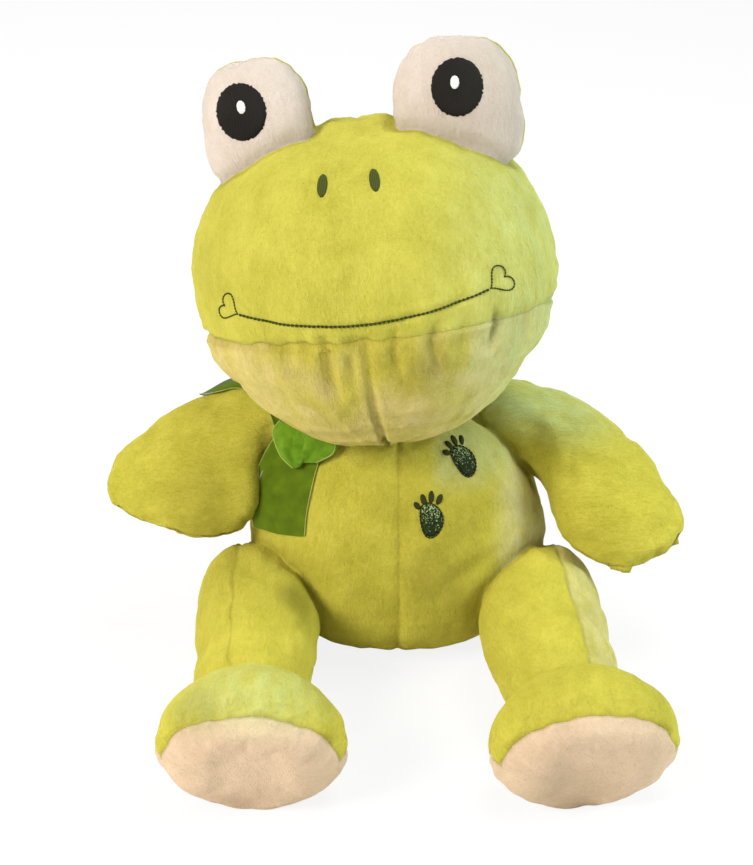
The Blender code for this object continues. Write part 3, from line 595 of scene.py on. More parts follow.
class Nodes:
    """The nodes of a material or a world, with short ways to add and join them."""

    def __init__(self, owner, shader="Principled BSDF"):
        owner.use_nodes = True
        self.tree = owner.node_tree
        self.shader = self.tree.nodes[shader]

    def put(self, socket, value):
        """Joins another socket to this one, or sets it to a constant; a colour may leave its alpha out."""
        if isinstance(value, bpy.types.NodeSocket):
            self.tree.links.new(value, socket)
        elif isinstance(value, tuple) and len(value) < len(socket.default_value):
            socket.default_value = (*value, 1)
        else:
            socket.default_value = value

    def fill(self, node, sockets):
        for name, value in sockets.items():
            self.put(node.inputs[name], value)

    def add(self, kind, sockets, **values):
        node = self.tree.nodes.new(kind)
        for name, value in values.items():
            setattr(node, name, value)
        self.fill(node, sockets)
        return node

    def attribute(self, name, output="Fac"):
        return self.add("ShaderNodeAttribute", {}, attribute_name=name).outputs[output]

    def scaled(self, vector, scale):
        return self.add("ShaderNodeMapping", {"Vector": vector, "Scale": scale}).outputs["Vector"]

    def noise(self, vector, scale, detail, roughness):
        sockets = {"Vector": vector, "Scale": scale, "Detail": detail, "Roughness": roughness}
        return self.add("ShaderNodeTexNoise", sockets).outputs["Fac"]

    def ridges(self, vector, spacing, direction="X", distortion=0.0):
        """Waves this far apart in metres."""
        sockets = {"Vector": vector, "Scale": math.pi / 10 / spacing, "Distortion": distortion}
        sockets |= {"Detail": 2, "Detail Scale": 1.5}
        return self.add("ShaderNodeTexWave", sockets, wave_type="BANDS", bands_direction=direction).outputs["Fac"]

    def math(self, operation, first, second):
        return self.add("ShaderNodeMath", {0: first, 1: second}, operation=operation).outputs[0]

    def weighted(self, first, share, second, other_share):
        """The sum of two values, each times its share."""
        parts = self.math("MULTIPLY", first, share), self.math("MULTIPLY", second, other_share)
        return self.math("ADD", *parts)

    def mix(self, factor, first, second, blend="MIX"):
        sockets = {0: factor, 6: first, 7: second}
        return self.add("ShaderNodeMix", sockets, data_type="RGBA", blend_type=blend).outputs[2]

    def ranged(self, value, low, high, made_low=0.0, made_high=1.0):
        """Maps one range of a value to another, 0 to 1 if none is given."""
        sockets = {"Value": value, "From Min": low, "From Max": high, "To Min": made_low, "To Max": made_high}
        return self.add("ShaderNodeMapRange", sockets).outputs["Result"]

    def bump(self, height, distance, strength, **under):
        sockets = {"Height": height, "Distance": distance, "Strength": strength, **under}
        return self.add("ShaderNodeBump", sockets).outputs["Normal"]

    def show(self, output, factor, first, second):
        """Mixes two shaders by a factor into the output."""
        mixed = self.add("ShaderNodeMixShader", {0: factor, 1: first.outputs[0], 2: second.outputs[0]})
        self.put(self.tree.nodes[output].inputs["Surface"], mixed.outputs[0])


def cloth_nodes(name):
    """A new material, its nodes and the attribute that holds each place in the cloth in metres."""
    material = bpy.data.materials.new(name)
    nodes = Nodes(material)
    return material, nodes, nodes.attribute("nap", "Vector")


# How many lumps of each pattern of the pile there are to the metre, and how dark the seams, the painted shade
# and the hollows of the paler cloth are
BLOTCHES, BRUSHED, STREAKS, GRAINS = 50, 190, 900, 2100
SEAM_SHADE = (0.42, 0.40, 0.30)
HOLLOW_SHADE = 0.55


def velboa(name, dark, light, sheen=0.45, pale=(0.70, 0.64, 0.33), painted_cool_light=(0.58, 0.66, 0.26)):
    """Short pile plush: patches where the pile lies another way, brushed streaks and fine grain."""
    material, nodes, nap = cloth_nodes(name)
    blotch = nodes.ranged(nodes.noise(nap, BLOTCHES, 3, 0.55), 0.32, 0.68)
    brushed = nodes.ranged(nodes.noise(nodes.scaled(nap, (1, 1, 0.4)), BRUSHED, 4, 0.62), 0.3, 0.7)
    streak = nodes.ranged(nodes.noise(nodes.scaled(nap, (1, 1, 0.45)), STREAKS, 3, 0.7), 0.28, 0.72)
    grain = nodes.ranged(nodes.noise(nap, GRAINS, 2, 0.8), 0.3, 0.7)
    lying = nodes.weighted(blotch, 0.26, brushed, 0.20)
    fine = nodes.weighted(streak, 0.28, grain, 0.26)
    shade = nodes.math("ADD", lying, fine)
    patchy = nodes.math("ADD", nodes.math("MULTIPLY", brushed, 0.9), 0.55)
    colour = nodes.mix(shade, dark, light)
    # The pale layer and the layer of cooler colour: painted light, paler and cooler colour where light falls on the
    # cloth; the pale one is partly pile that lies another way.
    for layer, bright in (("pale", pale), ("painted_cool_light", painted_cool_light)):
        other = nodes.mix(shade, tuple(HOLLOW_SHADE * value for value in bright), bright)
        colour = nodes.mix(nodes.math("MULTIPLY", nodes.attribute(layer), patchy), colour, other)
    # Darkening from the first layer: a dark line along the seams, and painted shade in creases, at the joins between
    # forms and in patches.
    colour = nodes.mix(nodes.attribute("seam"), colour, nodes.mix(1.0, colour, SEAM_SHADE, "MULTIPLY"))
    soft = nodes.bump(brushed, 0.8 * MM, 0.6)
    height = nodes.weighted(streak, 0.6, grain, 0.5)
    nodes.fill(nodes.shader, {
        "Base Color": colour,
        "Normal": nodes.bump(height, 0.5 * MM, 0.9, Normal=soft),
        "Roughness": 0.92,
        "Specular IOR Level": 0.12,
        "Sheen Weight": sheen,
        "Sheen Roughness": 0.4,
        "Sheen Tint": tuple(min(1, 1.5 * value) for value in light),
    })
    return material


def thread(name, dark, light, spacing=0.84 * MM, roughness=0.5, sheen=0.2, gloss=0.4):
    """Satin stitches side by side: fine ridges along the stitch, by the nap attribute's first number."""
    material, nodes, nap = cloth_nodes(name)
    wave = nodes.ridges(nap, spacing, distortion=1.2)
    shade = nodes.weighted(wave, 0.6, nodes.noise(nap, 1500, 2, 0.6), 0.4)
    nodes.fill(nodes.shader, {
        "Base Color": nodes.mix(shade, dark, light),
        "Normal": nodes.bump(shade, 0.25 * MM, 0.8),
        "Roughness": roughness,
        "Specular IOR Level": gloss,
        "Sheen Weight": sheen,
    })
    return material


def speckled_thread():
    """Dark green thread with the glints of a metallic strand painted into its colour as pale specks here and there,
    more towards the toes.
    """
    material, nodes, nap = cloth_nodes("footprint_thread")
    cells = nodes.add("ShaderNodeTexVoronoi", {"Vector": nap, "Scale": 1500}, feature="F1")
    up = nodes.add("ShaderNodeSeparateXYZ", {0: nap}).outputs["Y"]
    least = nodes.ranged(up, -7 * MM, 5 * MM, 0.68, 0.53)
    painted_glint = nodes.math("GREATER_THAN", nodes.noise(nap, 1300, 2, 0.7), least)
    nodes.fill(nodes.shader, {
        "Base Color": nodes.mix(painted_glint, (0.010, 0.020, 0.003), (0.34, 0.44, 0.20)),
        "Normal": nodes.bump(cells.outputs["Distance"], 0.3 * MM, 0.8),
        "Roughness": 0.6,
        "Specular IOR Level": 0.1,
    })
    return material


WEAVE_PITCH = 0.5 * MM


def organza(name, alpha_low, alpha_high, colour_low, colour_high):
    """Sheer ribbon: a fine woven grid that lets some of what is under it show."""
    material, nodes, nap = cloth_nodes(name)
    woven = nodes.math("MAXIMUM", *(nodes.ridges(nap, WEAVE_PITCH, direction) for direction in "XY"))
    cloudy = nodes.ranged(nodes.noise(nap, 120, 3, 0.6), 0.3, 0.7)
    shade = nodes.math("MULTIPLY", nodes.math("ADD", woven, cloudy), 0.5)
    nodes.fill(nodes.shader, {
        "Base Color": nodes.mix(shade, colour_low, colour_high),
        "Alpha": nodes.ranged(shade, 0.0, 1.0, alpha_low, alpha_high),
        "Normal": nodes.bump(woven, 0.1 * MM, 0.5),
        "Roughness": 0.7,
        "Specular IOR Level": 0.04,
        "Sheen Weight": 0.08,
    })
    return material


# Each finish: its material, and the slot that it takes
FINISHES = {
    "face": (velboa("face_velboa_cloth", (0.32, 0.29, 0.022), (0.62, 0.57, 0.10)), "face_velboa"),
    "body": (velboa("body_velboa_cloth", (0.31, 0.28, 0.018), (0.68, 0.60, 0.09)), "body_velboa"),
    "jaw": (
        velboa("pale_velboa_cloth", (0.24, 0.20, 0.018), (0.62, 0.54, 0.09), 0.5, (0.76, 0.60, 0.30)),
        "pale_velboa",
    ),
    "cream": (velboa("cream_velboa_cloth", (0.52, 0.43, 0.36), (0.72, 0.63, 0.57), 0.25), "cream_velboa"),
    "sole": (velboa("sole_velboa_cloth", (0.54, 0.38, 0.24), (0.82, 0.62, 0.44), 0.25), "cream_velboa"),
    "black": (
        thread("black_satin", (0.002, 0.002, 0.0015), (0.016, 0.013, 0.010), 0.6 * MM, 0.6, 0.0, 0.1),
        "black_thread",
    ),
    "white": (thread("white_satin", (0.60, 0.56, 0.50), (0.85, 0.82, 0.78)), "cream_velboa"),
    "thread": (
        thread("green_satin", (0.022, 0.030, 0.003), (0.070, 0.085, 0.012), sheen=0.0, gloss=0.1),
        "green_thread",
    ),
    "dark_thread": (
        thread("dark_green_satin", (0.010, 0.015, 0.002), (0.045, 0.052, 0.010), 0.6 * MM, 0.6, 0.0, 0.1),
        "green_thread",
    ),
    "speckle": (speckled_thread(), "green_thread"),
    "ribbon": (
        organza("sheer_ribbon", 0.76, 0.92, (0.032, 0.070, 0.002), (0.12, 0.19, 0.006)),
        "green_organza",
    ),
    "ribbon_dense": (
        organza("folded_ribbon", 0.62, 0.9, (0.035, 0.12, 0.003), (0.20, 0.36, 0.02)),
        "green_organza",
    ),
    "selvage": (
        organza("ribbon_selvage", 0.7, 0.9, (0.34, 0.44, 0.07), (0.56, 0.64, 0.20)),
        "green_organza",
    ),
}


def finished(name, points, faces, nap, finish, body=None, layers=None):
    """A smooth-shaded object in one of the finishes, with its nap places and its colour layers."""
    material, slot = FINISHES[finish]
    mesh = bpy.data.meshes.new(name)
    mesh.from_pydata(points, [], faces)
    mesh.polygons.foreach_set("use_smooth", np.ones(len(faces), dtype=bool))
    for label, kind, field, values in [("nap", "FLOAT_VECTOR", "vector", nap)] + [
        (label, "FLOAT", "value", values) for label, values in (layers or {}).items()
    ]:
        layer = mesh.attributes.new(label, kind, "POINT")
        layer.data.foreach_set(field, np.array(values, dtype=float).ravel())
    mesh.materials.append(material)
    obj = new_object(name, mesh)
    if body:
        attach(obj, body)
    return obj


# Embroidery


# Where embroidery is laid: a placement whose local Z comes out of the cloth, the cloth and its body
Ground = namedtuple("Ground", "view tree body")
STITCH_RIDGE = 0.06 * MM


def cast_down(ground, point):
    """The place on the cloth under a point of the drawing, and the way the cloth faces there."""
    start = ground.view @ Vector((point.x, point.y, 0.15))
    return ground.tree.ray_cast(start, ground.view.to_3x3() @ -UP)[:2]


def satin(name, outline, ground, height, finish, rings, stitch_way):
    """A filled shape of satin stitches: crowned, with its edge pulled down into the pile."""
    turn = Matrix.Rotation(stitch_way, 2)
    points, nap = [], []
    layers = [(ring / rings, 1 - (ring / rings) ** 2.4) for ring in range(1, rings + 1)]
    layers += [(1.0, -0.7), (0.5, -0.9)]

    def add(spot, lift):
        place, normal = cast_down(ground, spot)
        along = turn @ spot
        groove = STITCH_RIDGE * math.sin(along.x / (0.5 * MM) * 2 * math.pi)
        points.append(tuple(place + normal * (height * max(lift, -0.9) + (groove if lift > 0 else 0) + 0.15 * MM)))
        nap.append((along.x, along.y, lift * MM))

    add(Vector((0, 0)), 1.0)
    for share, lift in layers:
        for spot in outline:
            add(spot * share, lift ** 0.5 if lift > 0 else lift)
    add(Vector((0, 0)), -0.9)
    count = len(outline)
    faces = []
    for index in range(count):
        ahead = (index + 1) % count
        faces.append((0, 1 + index, 1 + ahead))
        for row in range(len(layers) - 1):
            low = 1 + row * count
            high = low + count
            faces.append((low + index, high + index, high + ahead, low + ahead))
        last = 1 + (len(layers) - 1) * count
        faces.append((last + index, len(points) - 1, last + ahead))
    return finished(name, points, faces, nap, finish, ground.body)


def oval(width, height, steps, ragged=0.0, seed=0, turn=0.0):
    """An oval outline in metres, with uneven stitch ends where it is ragged."""
    tilt = Matrix.Rotation(math.radians(turn), 2)
    made = []
    for step in range(steps):
        angle = 2 * math.pi * step / steps
        jag = 1 + ragged * noise.noise(Vector((step * 0.9, seed, 0)))
        made.append(tilt @ Vector((width / 2 * math.cos(angle) * jag, height / 2 * math.sin(angle) * jag)))
    return made


def tube(path, radius_of, sides):
    """Rings of points about a path, closed at both ends: its points, faces and nap places."""
    points, faces, nap = [], [], []
    last = len(path) - 1
    run = 0.0
    for index, (place, normal) in enumerate(path):
        way = (path[min(index + 1, last)][0] - path[max(index - 1, 0)][0]).normalized()
        side_way = way.cross(normal).normalized()
        up_way = side_way.cross(way).normalized()
        if index:
            run += (place - path[index - 1][0]).length
        radius = radius_of(index / last)
        for side in range(sides):
            angle = 2 * math.pi * side / sides
            points.append(tuple(place + (side_way * math.cos(angle) + up_way * math.sin(angle)) * radius))
            nap.append((run, angle * radius, 0))
    for low in range(0, last * sides, sides):
        for side in range(sides):
            ahead = (side + 1) % sides
            faces.append((low + side, low + ahead, low + sides + ahead, low + sides + side))
    faces.append(tuple(range(sides))[::-1])
    faces.append(tuple(range(last * sides, (last + 1) * sides)))
    return points, faces, nap


def stitches(name, spots, ground, pitch, radius, finish, closed=False, gap=0.25):
    """Single stitches one after the other along a line, each sunk into the pile at its ends."""
    path = [cast_down(ground, spot) for spot in spots]
    if closed:
        path.append(path[0])
    lengths = [0.0]
    for a, b in zip(path, path[1:]):
        lengths.append(lengths[-1] + (b[0] - a[0]).length)
    total = lengths[-1]
    count = max(1, round(total / pitch))
    steps = 7
    points, faces, nap = [], [], []
    for stitch in range(count):
        made = []
        for step in range(steps):
            run = (stitch + gap / 2 + (1 - gap) * step / (steps - 1)) / count * total
            index = min(len(path) - 2, max(0, int(np.searchsorted(lengths, run)) - 1))
            part = (run - lengths[index]) / max(1e-9, lengths[index + 1] - lengths[index])
            place, normal = (a.lerp(b, part) for a, b in zip(path[index], path[index + 1]))
            normal.normalize()
            arch = math.sin(math.pi * step / (steps - 1))
            made.append((place + normal * radius * (1.1 * arch - 0.45), normal))
        found = tube(made, lambda share: radius * (0.55 + 0.45 * math.sin(math.pi * share)), 7)
        faces += [tuple(len(points) + corner for corner in face) for face in found[1]]
        points += found[0]
        nap += found[2]
    return finished(name, points, faces, nap, finish, ground.body)


def mouth_point(share):
    return Vector((share * 48.5 * MM, -6 * MM + 6 * MM * share * share))


def heart_outline(steps):
    """A heart whose tip is at the origin and whose lobes are up."""
    made = []
    for step in range(steps):
        angle = 2 * math.pi * (step + 0.5) / steps
        waves = 13 * math.cos(angle) - 5 * math.cos(2 * angle) - 2 * math.cos(3 * angle) - math.cos(4 * angle)
        made.append(Vector((math.sin(angle) ** 3 * 11.5 * MM / 2, (waves + 17) / 29 * 8 * MM)))
    return made


# Widths and heights of the eyes' and the nose's embroidery, and how far outward each pupil looks
PUPIL = (20 * MM, 22 * MM)
GLINT = (3.4 * MM, 5.0 * MM)
NOSTRIL = (4.0 * MM, 8.0 * MM)
PUPILS_OUT = {"left": 1, "right": 3.5}


def make_face(skins):
    face = Ground(HEAD_VIEW, skins["head"].tree(), "head")
    for side, sign in SIDE_SIGNS.items():
        eye = skins["eye_" + side]
        view = eye.form.placement @ frame_of((sign * PUPILS_OUT[side] * MM, 0, 39 * MM), (0, -1, 0), (1, 0, 0))
        rim = oval(*PUPIL, 96, 0.07, 3 + sign)
        pupil = satin("pupil_satin_" + side, rim, Ground(view, eye.tree(), "head"), 1.1 * MM, "black", 12, 0.3)
        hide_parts("pupil_" + side)
        above = view @ Matrix.Translation((-0.8 * sign * MM, 2 * MM, 0))
        raised = Ground(above, tree_of(pupil.data), "head")
        glint = satin("glint_satin_" + side, oval(*GLINT, 28, 0.06, 7), raised, 0.5 * MM, "white", 4, 0.1)
        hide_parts("glint_" + side)
        place = HEAD_VIEW @ Matrix.Translation((sign * 10 * MM, 46 * MM, 0))
        nose = oval(*NOSTRIL, 32, 0.05, 11, sign * 8)
        made = satin("nostril_satin_" + side, nose, face._replace(view=place), 0.7 * MM, "thread", 6, 0.2)
        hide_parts("nostril_" + side)
        tilt = Matrix.Rotation(math.radians(-sign * 60), 2)
        corner = mouth_point(sign * 1.01)
        heart = [corner + tilt @ spot for spot in heart_outline(48)]
        made = stitches("heart_thread_" + side, heart, face, 1.2 * MM, 0.36 * MM, "thread", True, 0.1)
        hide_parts("heart_stitching_" + side)
    line = [mouth_point(step / 60 - 1) for step in range(121)]
    made = stitches("mouth_thread", line, face, 1.7 * MM, 0.56 * MM, "thread")
    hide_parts("mouth_stitching")


# Each toe: its direction from the sole's middle in degrees, its distance and its length
TOES = ((124, 7.9, 3.4), (100, 8.7, 4.4), (79, 9.3, 4.8), (57, 9.1, 4.6))


def make_footprint(name, side_share, height_share, turn, tree):
    """A bean-shaped sole and toes in satin stitch, with a thin outline round the sole."""
    start = Vector((side_share * 64 * MM, -0.15, height_share * 105 * MM))
    spot, normal = tree.ray_cast(start, Vector((0, 1, 0)))[:2]
    view = frame_of(spot, normal, (1, 0, 0)) @ turned(turn, "Z")
    belly = Ground(view, tree, "torso")

    def bean(width, height, steps, ragged=0.0):
        """An oval that bends: its middle is drawn to one side."""
        made = oval(width, height, steps, ragged, 2)
        return [Vector((spot.x + 1.3 * MM * (1 - (2 * spot.y / height) ** 2) - 0.5 * MM, spot.y)) for spot in made]

    sole = satin(name + "_sole", bean(8.6 * MM, 13.6 * MM, 56, 0.04), belly, 1.0 * MM, "speckle", 9, 0.4)
    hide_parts(name)
    ring = bean(9.3 * MM, 14.4 * MM, 48)
    stitches(name + "_ring", ring, belly, 1.5 * MM, 0.36 * MM, "dark_thread", True, 0.04)
    for toe, (degrees, reach, length) in enumerate(TOES):
        way = Vector((math.cos(math.radians(degrees)), math.sin(math.radians(degrees))))
        outline = [
            way * reach * MM + way * spot.y + Vector((way.y, -way.x)) * spot.x
            for spot in oval(2.4 * MM, length * MM, 24, 0.05, toe)
        ]
        middle = sum(outline, Vector((0, 0))) / len(outline)
        place = belly._replace(view=view @ Matrix.Translation((middle.x, middle.y, 0)))
        shape = [spot - middle for spot in outline]
        satin(f"{name}_toe_{toe + 1}", shape, place, 0.7 * MM, "dark_thread", 4, 0.3)


# Ribbon

# The outer and the inner edge of the ribbon round the neck, seen from above in millimetres: from the
# knot over the frog's right shoulder, round behind the neck and back under the chin.
BAND_EDGES = (
    ((-47, -16), (-40, -13)),
    ((-52, -8), (-41, -7)),
    ((-59, 0), (-44, -1)),
    ((-67, 6), (-47, 5)),
    ((-75, 9), (-51, 9)),
    ((-82, 11), (-55, 12)),
    ((-85, 17), (-56, 16)),
    ((-79, 24), (-52, 20)),
    ((-64, 30), (-44, 22)),
    ((-47, 31), (-33, 23)),
    ((-28, 31), (-19, 22)),
    ((-8, 29), (-6, 21)),
    ((10, 26), (7, 18)),
    ((22, 15), (16, 10)),
    ((26, 1), (19, 0)),
    ((22, -13), (16, -10)),
    ((13, -21), (10, -17)),
    ((0, -25), (0, -20)),
    ((-13, -23), (-12, -19)),
    ((-25, -20), (-23, -16)),
    ((-37, -19), (-35, -15)),
)
TAIL_INNER = ((-33, -25, 91), (-35, -27.5, 85), (-36.8, -31, 78), (-38.2, -34, 71), (-39, -37.5, 62.5))
TAIL_OUTER = ((-51, -12, 97), (-56.5, -14, 88), (-60.5, -16, 78), (-62.5, -19, 69), (-61, -23, 58.5))
SELVAGE_RADIUS = 0.14 * MM


def curve(known, steps, closed=False):
    """Points on a smooth line through places given in millimetres."""
    known = np.array(known, dtype=float) * MM
    if closed:
        spot = np.arange(steps) * len(known) / steps
        known = np.concatenate([known[-1:], known, known[:2]])
    else:
        spot = np.linspace(0, len(known) - 1, steps)
        known = np.concatenate([2 * known[:1] - known[1:2], known, 2 * known[-1:] - known[-2:-1]])
    index = np.minimum(spot.astype(int), len(known) - 4)
    part = (spot - index)[:, None]
    a, b, c, d = (known[index + shift] for shift in range(4))
    return b + 0.5 * part * (c - a + part * (2 * a - 5 * b + 4 * c - d + part * (3 * (b - c) + d - a)))


def between(first, second, count):
    """A grid of places from one line to another."""
    share = np.linspace(0, 1, count)[None, :, None]
    return first[:, None] * (1 - share) + second[:, None] * share


def ribbon_sheet(name, grid, finish, body=None, closed=False):
    """A strip of ribbon through a grid of places, with its nap in metres along and across it."""
    if closed:
        grid = np.concatenate([grid, grid[:1]])
    steps, count = grid.shape[:2]
    nap = np.zeros((steps, count, 3))
    nap[1:, :, 0] = np.cumsum(np.linalg.norm(np.diff(grid, axis=0), axis=2).mean(axis=1))[:, None]
    nap[:, 1:, 1] = np.cumsum(np.linalg.norm(np.diff(grid, axis=1), axis=2), axis=1)
    low = (np.arange(steps - 1)[:, None] * count + np.arange(count - 1)).ravel()
    faces = np.stack([low, low + count, low + count + 1, low + 1], axis=1)
    return finished(name, grid.reshape(-1, 3).tolist(), faces.tolist(), nap, finish, body)


def selvage(name, line, outward, body=None):
    """The pale woven edge of the ribbon, as a thin cord along its edge."""
    path = [(Vector(place), Vector(outward)) for place in line]
    return finished(name, *tube(path, lambda share: SELVAGE_RADIUS, 6), "selvage", body)


def highest(x, y, trees, hanging=86 * MM):
    """The highest that the skins reach at a place, or how low cloth hangs where there is nothing."""
    found = [tree.ray_cast(Vector((x, y, 0.16)), -UP)[0] for tree in trees]
    return max([place.z for place in found if place] + [hanging])


def eased(heights, under, rounds):
    """Cloth pulled smooth round a ring, which may bridge hollows but not sink below what is under it."""
    for step in range(rounds):
        inner = np.concatenate([heights[:, 1:], heights[:, -1:]], axis=1)
        outer = np.concatenate([heights[:, :1], heights[:, :-1]], axis=1)
        heights = np.maximum(under, (np.roll(heights, 1, 0) + np.roll(heights, -1, 0) + inner + outer) / 4)
    return heights


def make_band(skins):
    """The ribbon round the neck: spread over the frog's right shoulder, and pleated everywhere else."""
    trees = [skins[name].tree() for name in ("torso", "arm_left", "arm_right")]
    steps, count = 168, 17
    outer = curve([edges[0] for edges in BAND_EDGES], steps, True)
    inner = curve([edges[1] for edges in BAND_EDGES], steps, True)
    flat = between(outer, inner, count)
    under = np.array([[highest(x, y, trees) for x, y in row] for row in flat])
    loose = smooth_step(np.linalg.norm(outer - inner, axis=1), 8 * MM, 20 * MM)[:, None]
    pulled = eased(eased(under, under, 50), under - 0.6 * MM, 4)
    lying = eased(eased(under, under, 5), under - 0.6 * MM, 3)
    heights = pulled * (1 - loose) + lying * loose
    share = np.linspace(0, 1, count)[None, :]
    turn = (2 * np.pi * np.arange(steps) / steps)[:, None]
    pleat = 0.5 + 0.5 * np.sin(2 * np.pi * 3.5 * share + 1.3 * np.sin(3 * turn))
    arch = np.sin(np.pi * np.clip(share, 0.02, 0.98)) ** 0.8
    grid = np.concatenate([flat, heights[:, :, None]], axis=2)
    crinkle = bumps(grid.reshape(-1, 3), 9 * MM, 31).reshape(steps, count)
    lift = 0.7 * MM + 1.8 * MM * pleat * (1 - loose) + (2.8 * MM * arch + 0.7 * MM * crinkle * arch) * loose
    grid[:, :, 2] += lift
    band = ribbon_sheet("band_ribbon", grid, "ribbon", closed=True)
    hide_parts("ribbon_band")
    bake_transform(band)
    for name, column in (("ribbon_edge_outer", 0), ("ribbon_edge_inner", -1)):
        edge = selvage(name, grid[:, column] + np.array([0, 0, 0.1 * MM]), UP)
        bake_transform(edge)


def make_tail(skins):
    """The loose end, which hangs down the side of the belly, with soft folds down its length."""
    tree = skins["torso"].tree()
    steps, count = 34, 19
    grid = between(curve(TAIL_OUTER, steps), curve(TAIL_INNER, steps), count)
    share = np.linspace(0, 1, count)[None, :]
    down = np.linspace(0, 1, steps)[:, None]
    grid[:, :, 2] -= 1.2 * MM * np.sin(np.pi * share) * down
    for row in grid:
        for place in row:
            hit = tree.ray_cast(Vector((place[0], -0.2, place[2])), Vector((0, 1, 0)))[0]
            if hit:
                place[1] = min(place[1], hit.y - 0.9 * MM)
    behind = grid[:, :, 1].copy()
    for step in range(40):
        grid[:, 1:-1, 1] = np.minimum(behind[:, 1:-1], (grid[:, :-2, 1] + grid[:, 2:, 1]) / 2)
    fold = 0.5 + 0.5 * np.sin(2 * np.pi * 2.3 * share + 1.5 * down)
    grid[:, :, 1] -= 0.6 * MM * fold * (1 - 0.4 * down)
    tail = ribbon_sheet("tail_ribbon", grid, "ribbon", "torso")
    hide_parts("ribbon_tail")
    for name, column in (("tail_edge_left", 0), ("tail_edge_right", -1)):
        selvage(name, grid[:, column] - np.array([0, 0.15 * MM, 0]), (0, -1, 0), "torso")


def make_knot():
    """The knot: a short wrap of ribbon round itself, with folds along it."""
    middle = Vector((-38 * MM, -20 * MM, 101 * MM))
    place = frame_of(middle, (-0.3, -0.8, 0.5), (0.9, 0, 0.15))
    steps, count = 48, 13
    grid = np.zeros((steps + 1, count, 3))
    for step in range(steps + 1):
        angle = 2 * math.pi * 1.12 * step / steps
        grow = 1 + 0.10 * step / steps
        for index in range(count):
            part = index / (count - 1) - 0.5
            fold = 1 + 0.09 * math.sin(part * 21 + 1.5 * math.sin(angle * 2))
            reach = grow * fold * (1 - 0.3 * (2 * part) ** 2)
            spot = Vector((part * 11, 4.6 * math.cos(angle) * reach, 3.4 * math.sin(angle) * reach))
            grid[step, index] = place @ (spot * MM)
    knot = ribbon_sheet("knot_ribbon", grid, "ribbon_dense", "torso")
    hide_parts("ribbon_knot")


# The bow hangs in a plane that leans on the chest: a place in millimetres, and the way it faces.
BOW_PLACE = Vector((-46 * MM, -19 * MM, 95 * MM))
BOW_FACING = Vector((-0.6, -1, 0.4)).normalized()
# Each loop's two edges from the knot to its tip, as pixels of the photograph, and how many millimetres it
# lies in front of the bow's plane.
LOOPS = {
    "right": (
        ((282, 420), (275, 430), (276, 442), (283, 456), (295, 468)),
        ((301, 427), (306, 434), (308, 444), (307, 455), (301, 467)),
        1.6,
    ),
    "left": (
        ((292, 425), (295, 438), (296, 450), (298, 463)),
        ((320, 434), (335, 443), (332, 454), (316, 463)),
        0.0,
    ),
}


def bow_edge(pixels, steps):
    """A smooth line in the bow's plane through pixels of the photograph."""
    known = []
    for way in map(sight, pixels):
        reach = (BOW_PLACE - CAMERA_PLACE).dot(BOW_FACING) / way.dot(BOW_FACING)
        known.append((CAMERA_PLACE + way * reach) / MM)
    return curve(known, steps)


def make_loop(side):
    """A small loop of the bow: the ribbon hangs from the knot, turns at its tip and comes back behind."""
    first, second, before = LOOPS[side]
    steps, count = 30, 15
    front = between(bow_edge(first, steps), bow_edge(second, steps), count)
    share = np.linspace(0, 1, count)[None, :, None]
    down = np.linspace(0, 1, steps)[:, None, None]
    facing = np.array(BOW_FACING)
    round_off = np.sin(np.pi * (0.12 + 0.80 * down)) ** 0.7
    crease = hump(share - 0.62 + 0.5 * (down - 0.5), 0.13) - 0.8 * hump(share - 0.3, 0.12)
    wave = 0.5 * np.sin(9 * down + 4 * share)
    front = front + facing * (before + (2.0 * np.sin(np.pi * share) ** 0.8 - 1.4 * crease + wave) * round_off) * MM
    back = front[::-1] - facing * (0.7 + 1.9 * round_off[::-1]) * MM
    loop = ribbon_sheet("loop_ribbon_" + side, np.concatenate([front, back]), "ribbon_dense", "torso")
    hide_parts("ribbon_loop_" + side)
    column = 0 if side == "right" else -1
    selvage("loop_edge_" + side, front[:, column] + facing * 0.12 * MM, facing, "torso")


# Stage


WHITE = (1, 1, 1)
ROOM_LIGHT = 0.24
FLOOR_GLOW = 0.86


def make_stage():
    """A dim white room that the camera sees as white, and a pale floor that glows to the camera alone."""
    world = bpy.data.worlds.new("studio")
    SCENE.world = world
    nodes = Nodes(world, "Background")
    nodes.fill(nodes.shader, {"Color": WHITE, "Strength": ROOM_LIGHT})
    seen = nodes.add("ShaderNodeBackground", {"Color": WHITE, "Strength": 1.0})
    rays = nodes.add("ShaderNodeLightPath", {}).outputs
    either = nodes.math("MAXIMUM", rays["Is Camera Ray"], rays["Is Glossy Ray"])
    either = nodes.math("MAXIMUM", either, rays["Is Transmission Ray"])
    nodes.show("World Output", either, nodes.shader, seen)

    material = bpy.data.materials.new("pale_floor")
    nodes = Nodes(material)
    nodes.fill(nodes.shader, {"Base Color": (0.9, 0.9, 0.9), "Roughness": 0.9, "Specular IOR Level": 0.0})
    glow = nodes.add("ShaderNodeEmission", {"Color": WHITE, "Strength": 1.0})
    ray = nodes.add("ShaderNodeLightPath", {}).outputs["Is Camera Ray"]
    nodes.show("Material Output", nodes.math("MULTIPLY", ray, FLOOR_GLOW), nodes.shader, glow)
    mesh = bpy.data.meshes.new("floor")
    mesh.from_pydata([(-3, -3, 0), (3, -3, 0), (3, 3, 0), (-3, 3, 0)], [], [(0, 1, 2, 3)])
    mesh.materials.append(material)
    new_object("floor", mesh)


def lamp(name, place, size, power, colour=WHITE):
    data = bpy.data.lights.new(name, "AREA")
    data.shape = "DISK"
    data.size = size
    data.energy = power
    data.color = colour
    obj = new_object(name, data)
    obj.location = place
    obj.rotation_euler = (Vector(LAMPS_AIM) - Vector(place)).to_track_quat("-Z", "Y").to_euler()


LAMPS_AIM = (0, -0.02, 0.12)


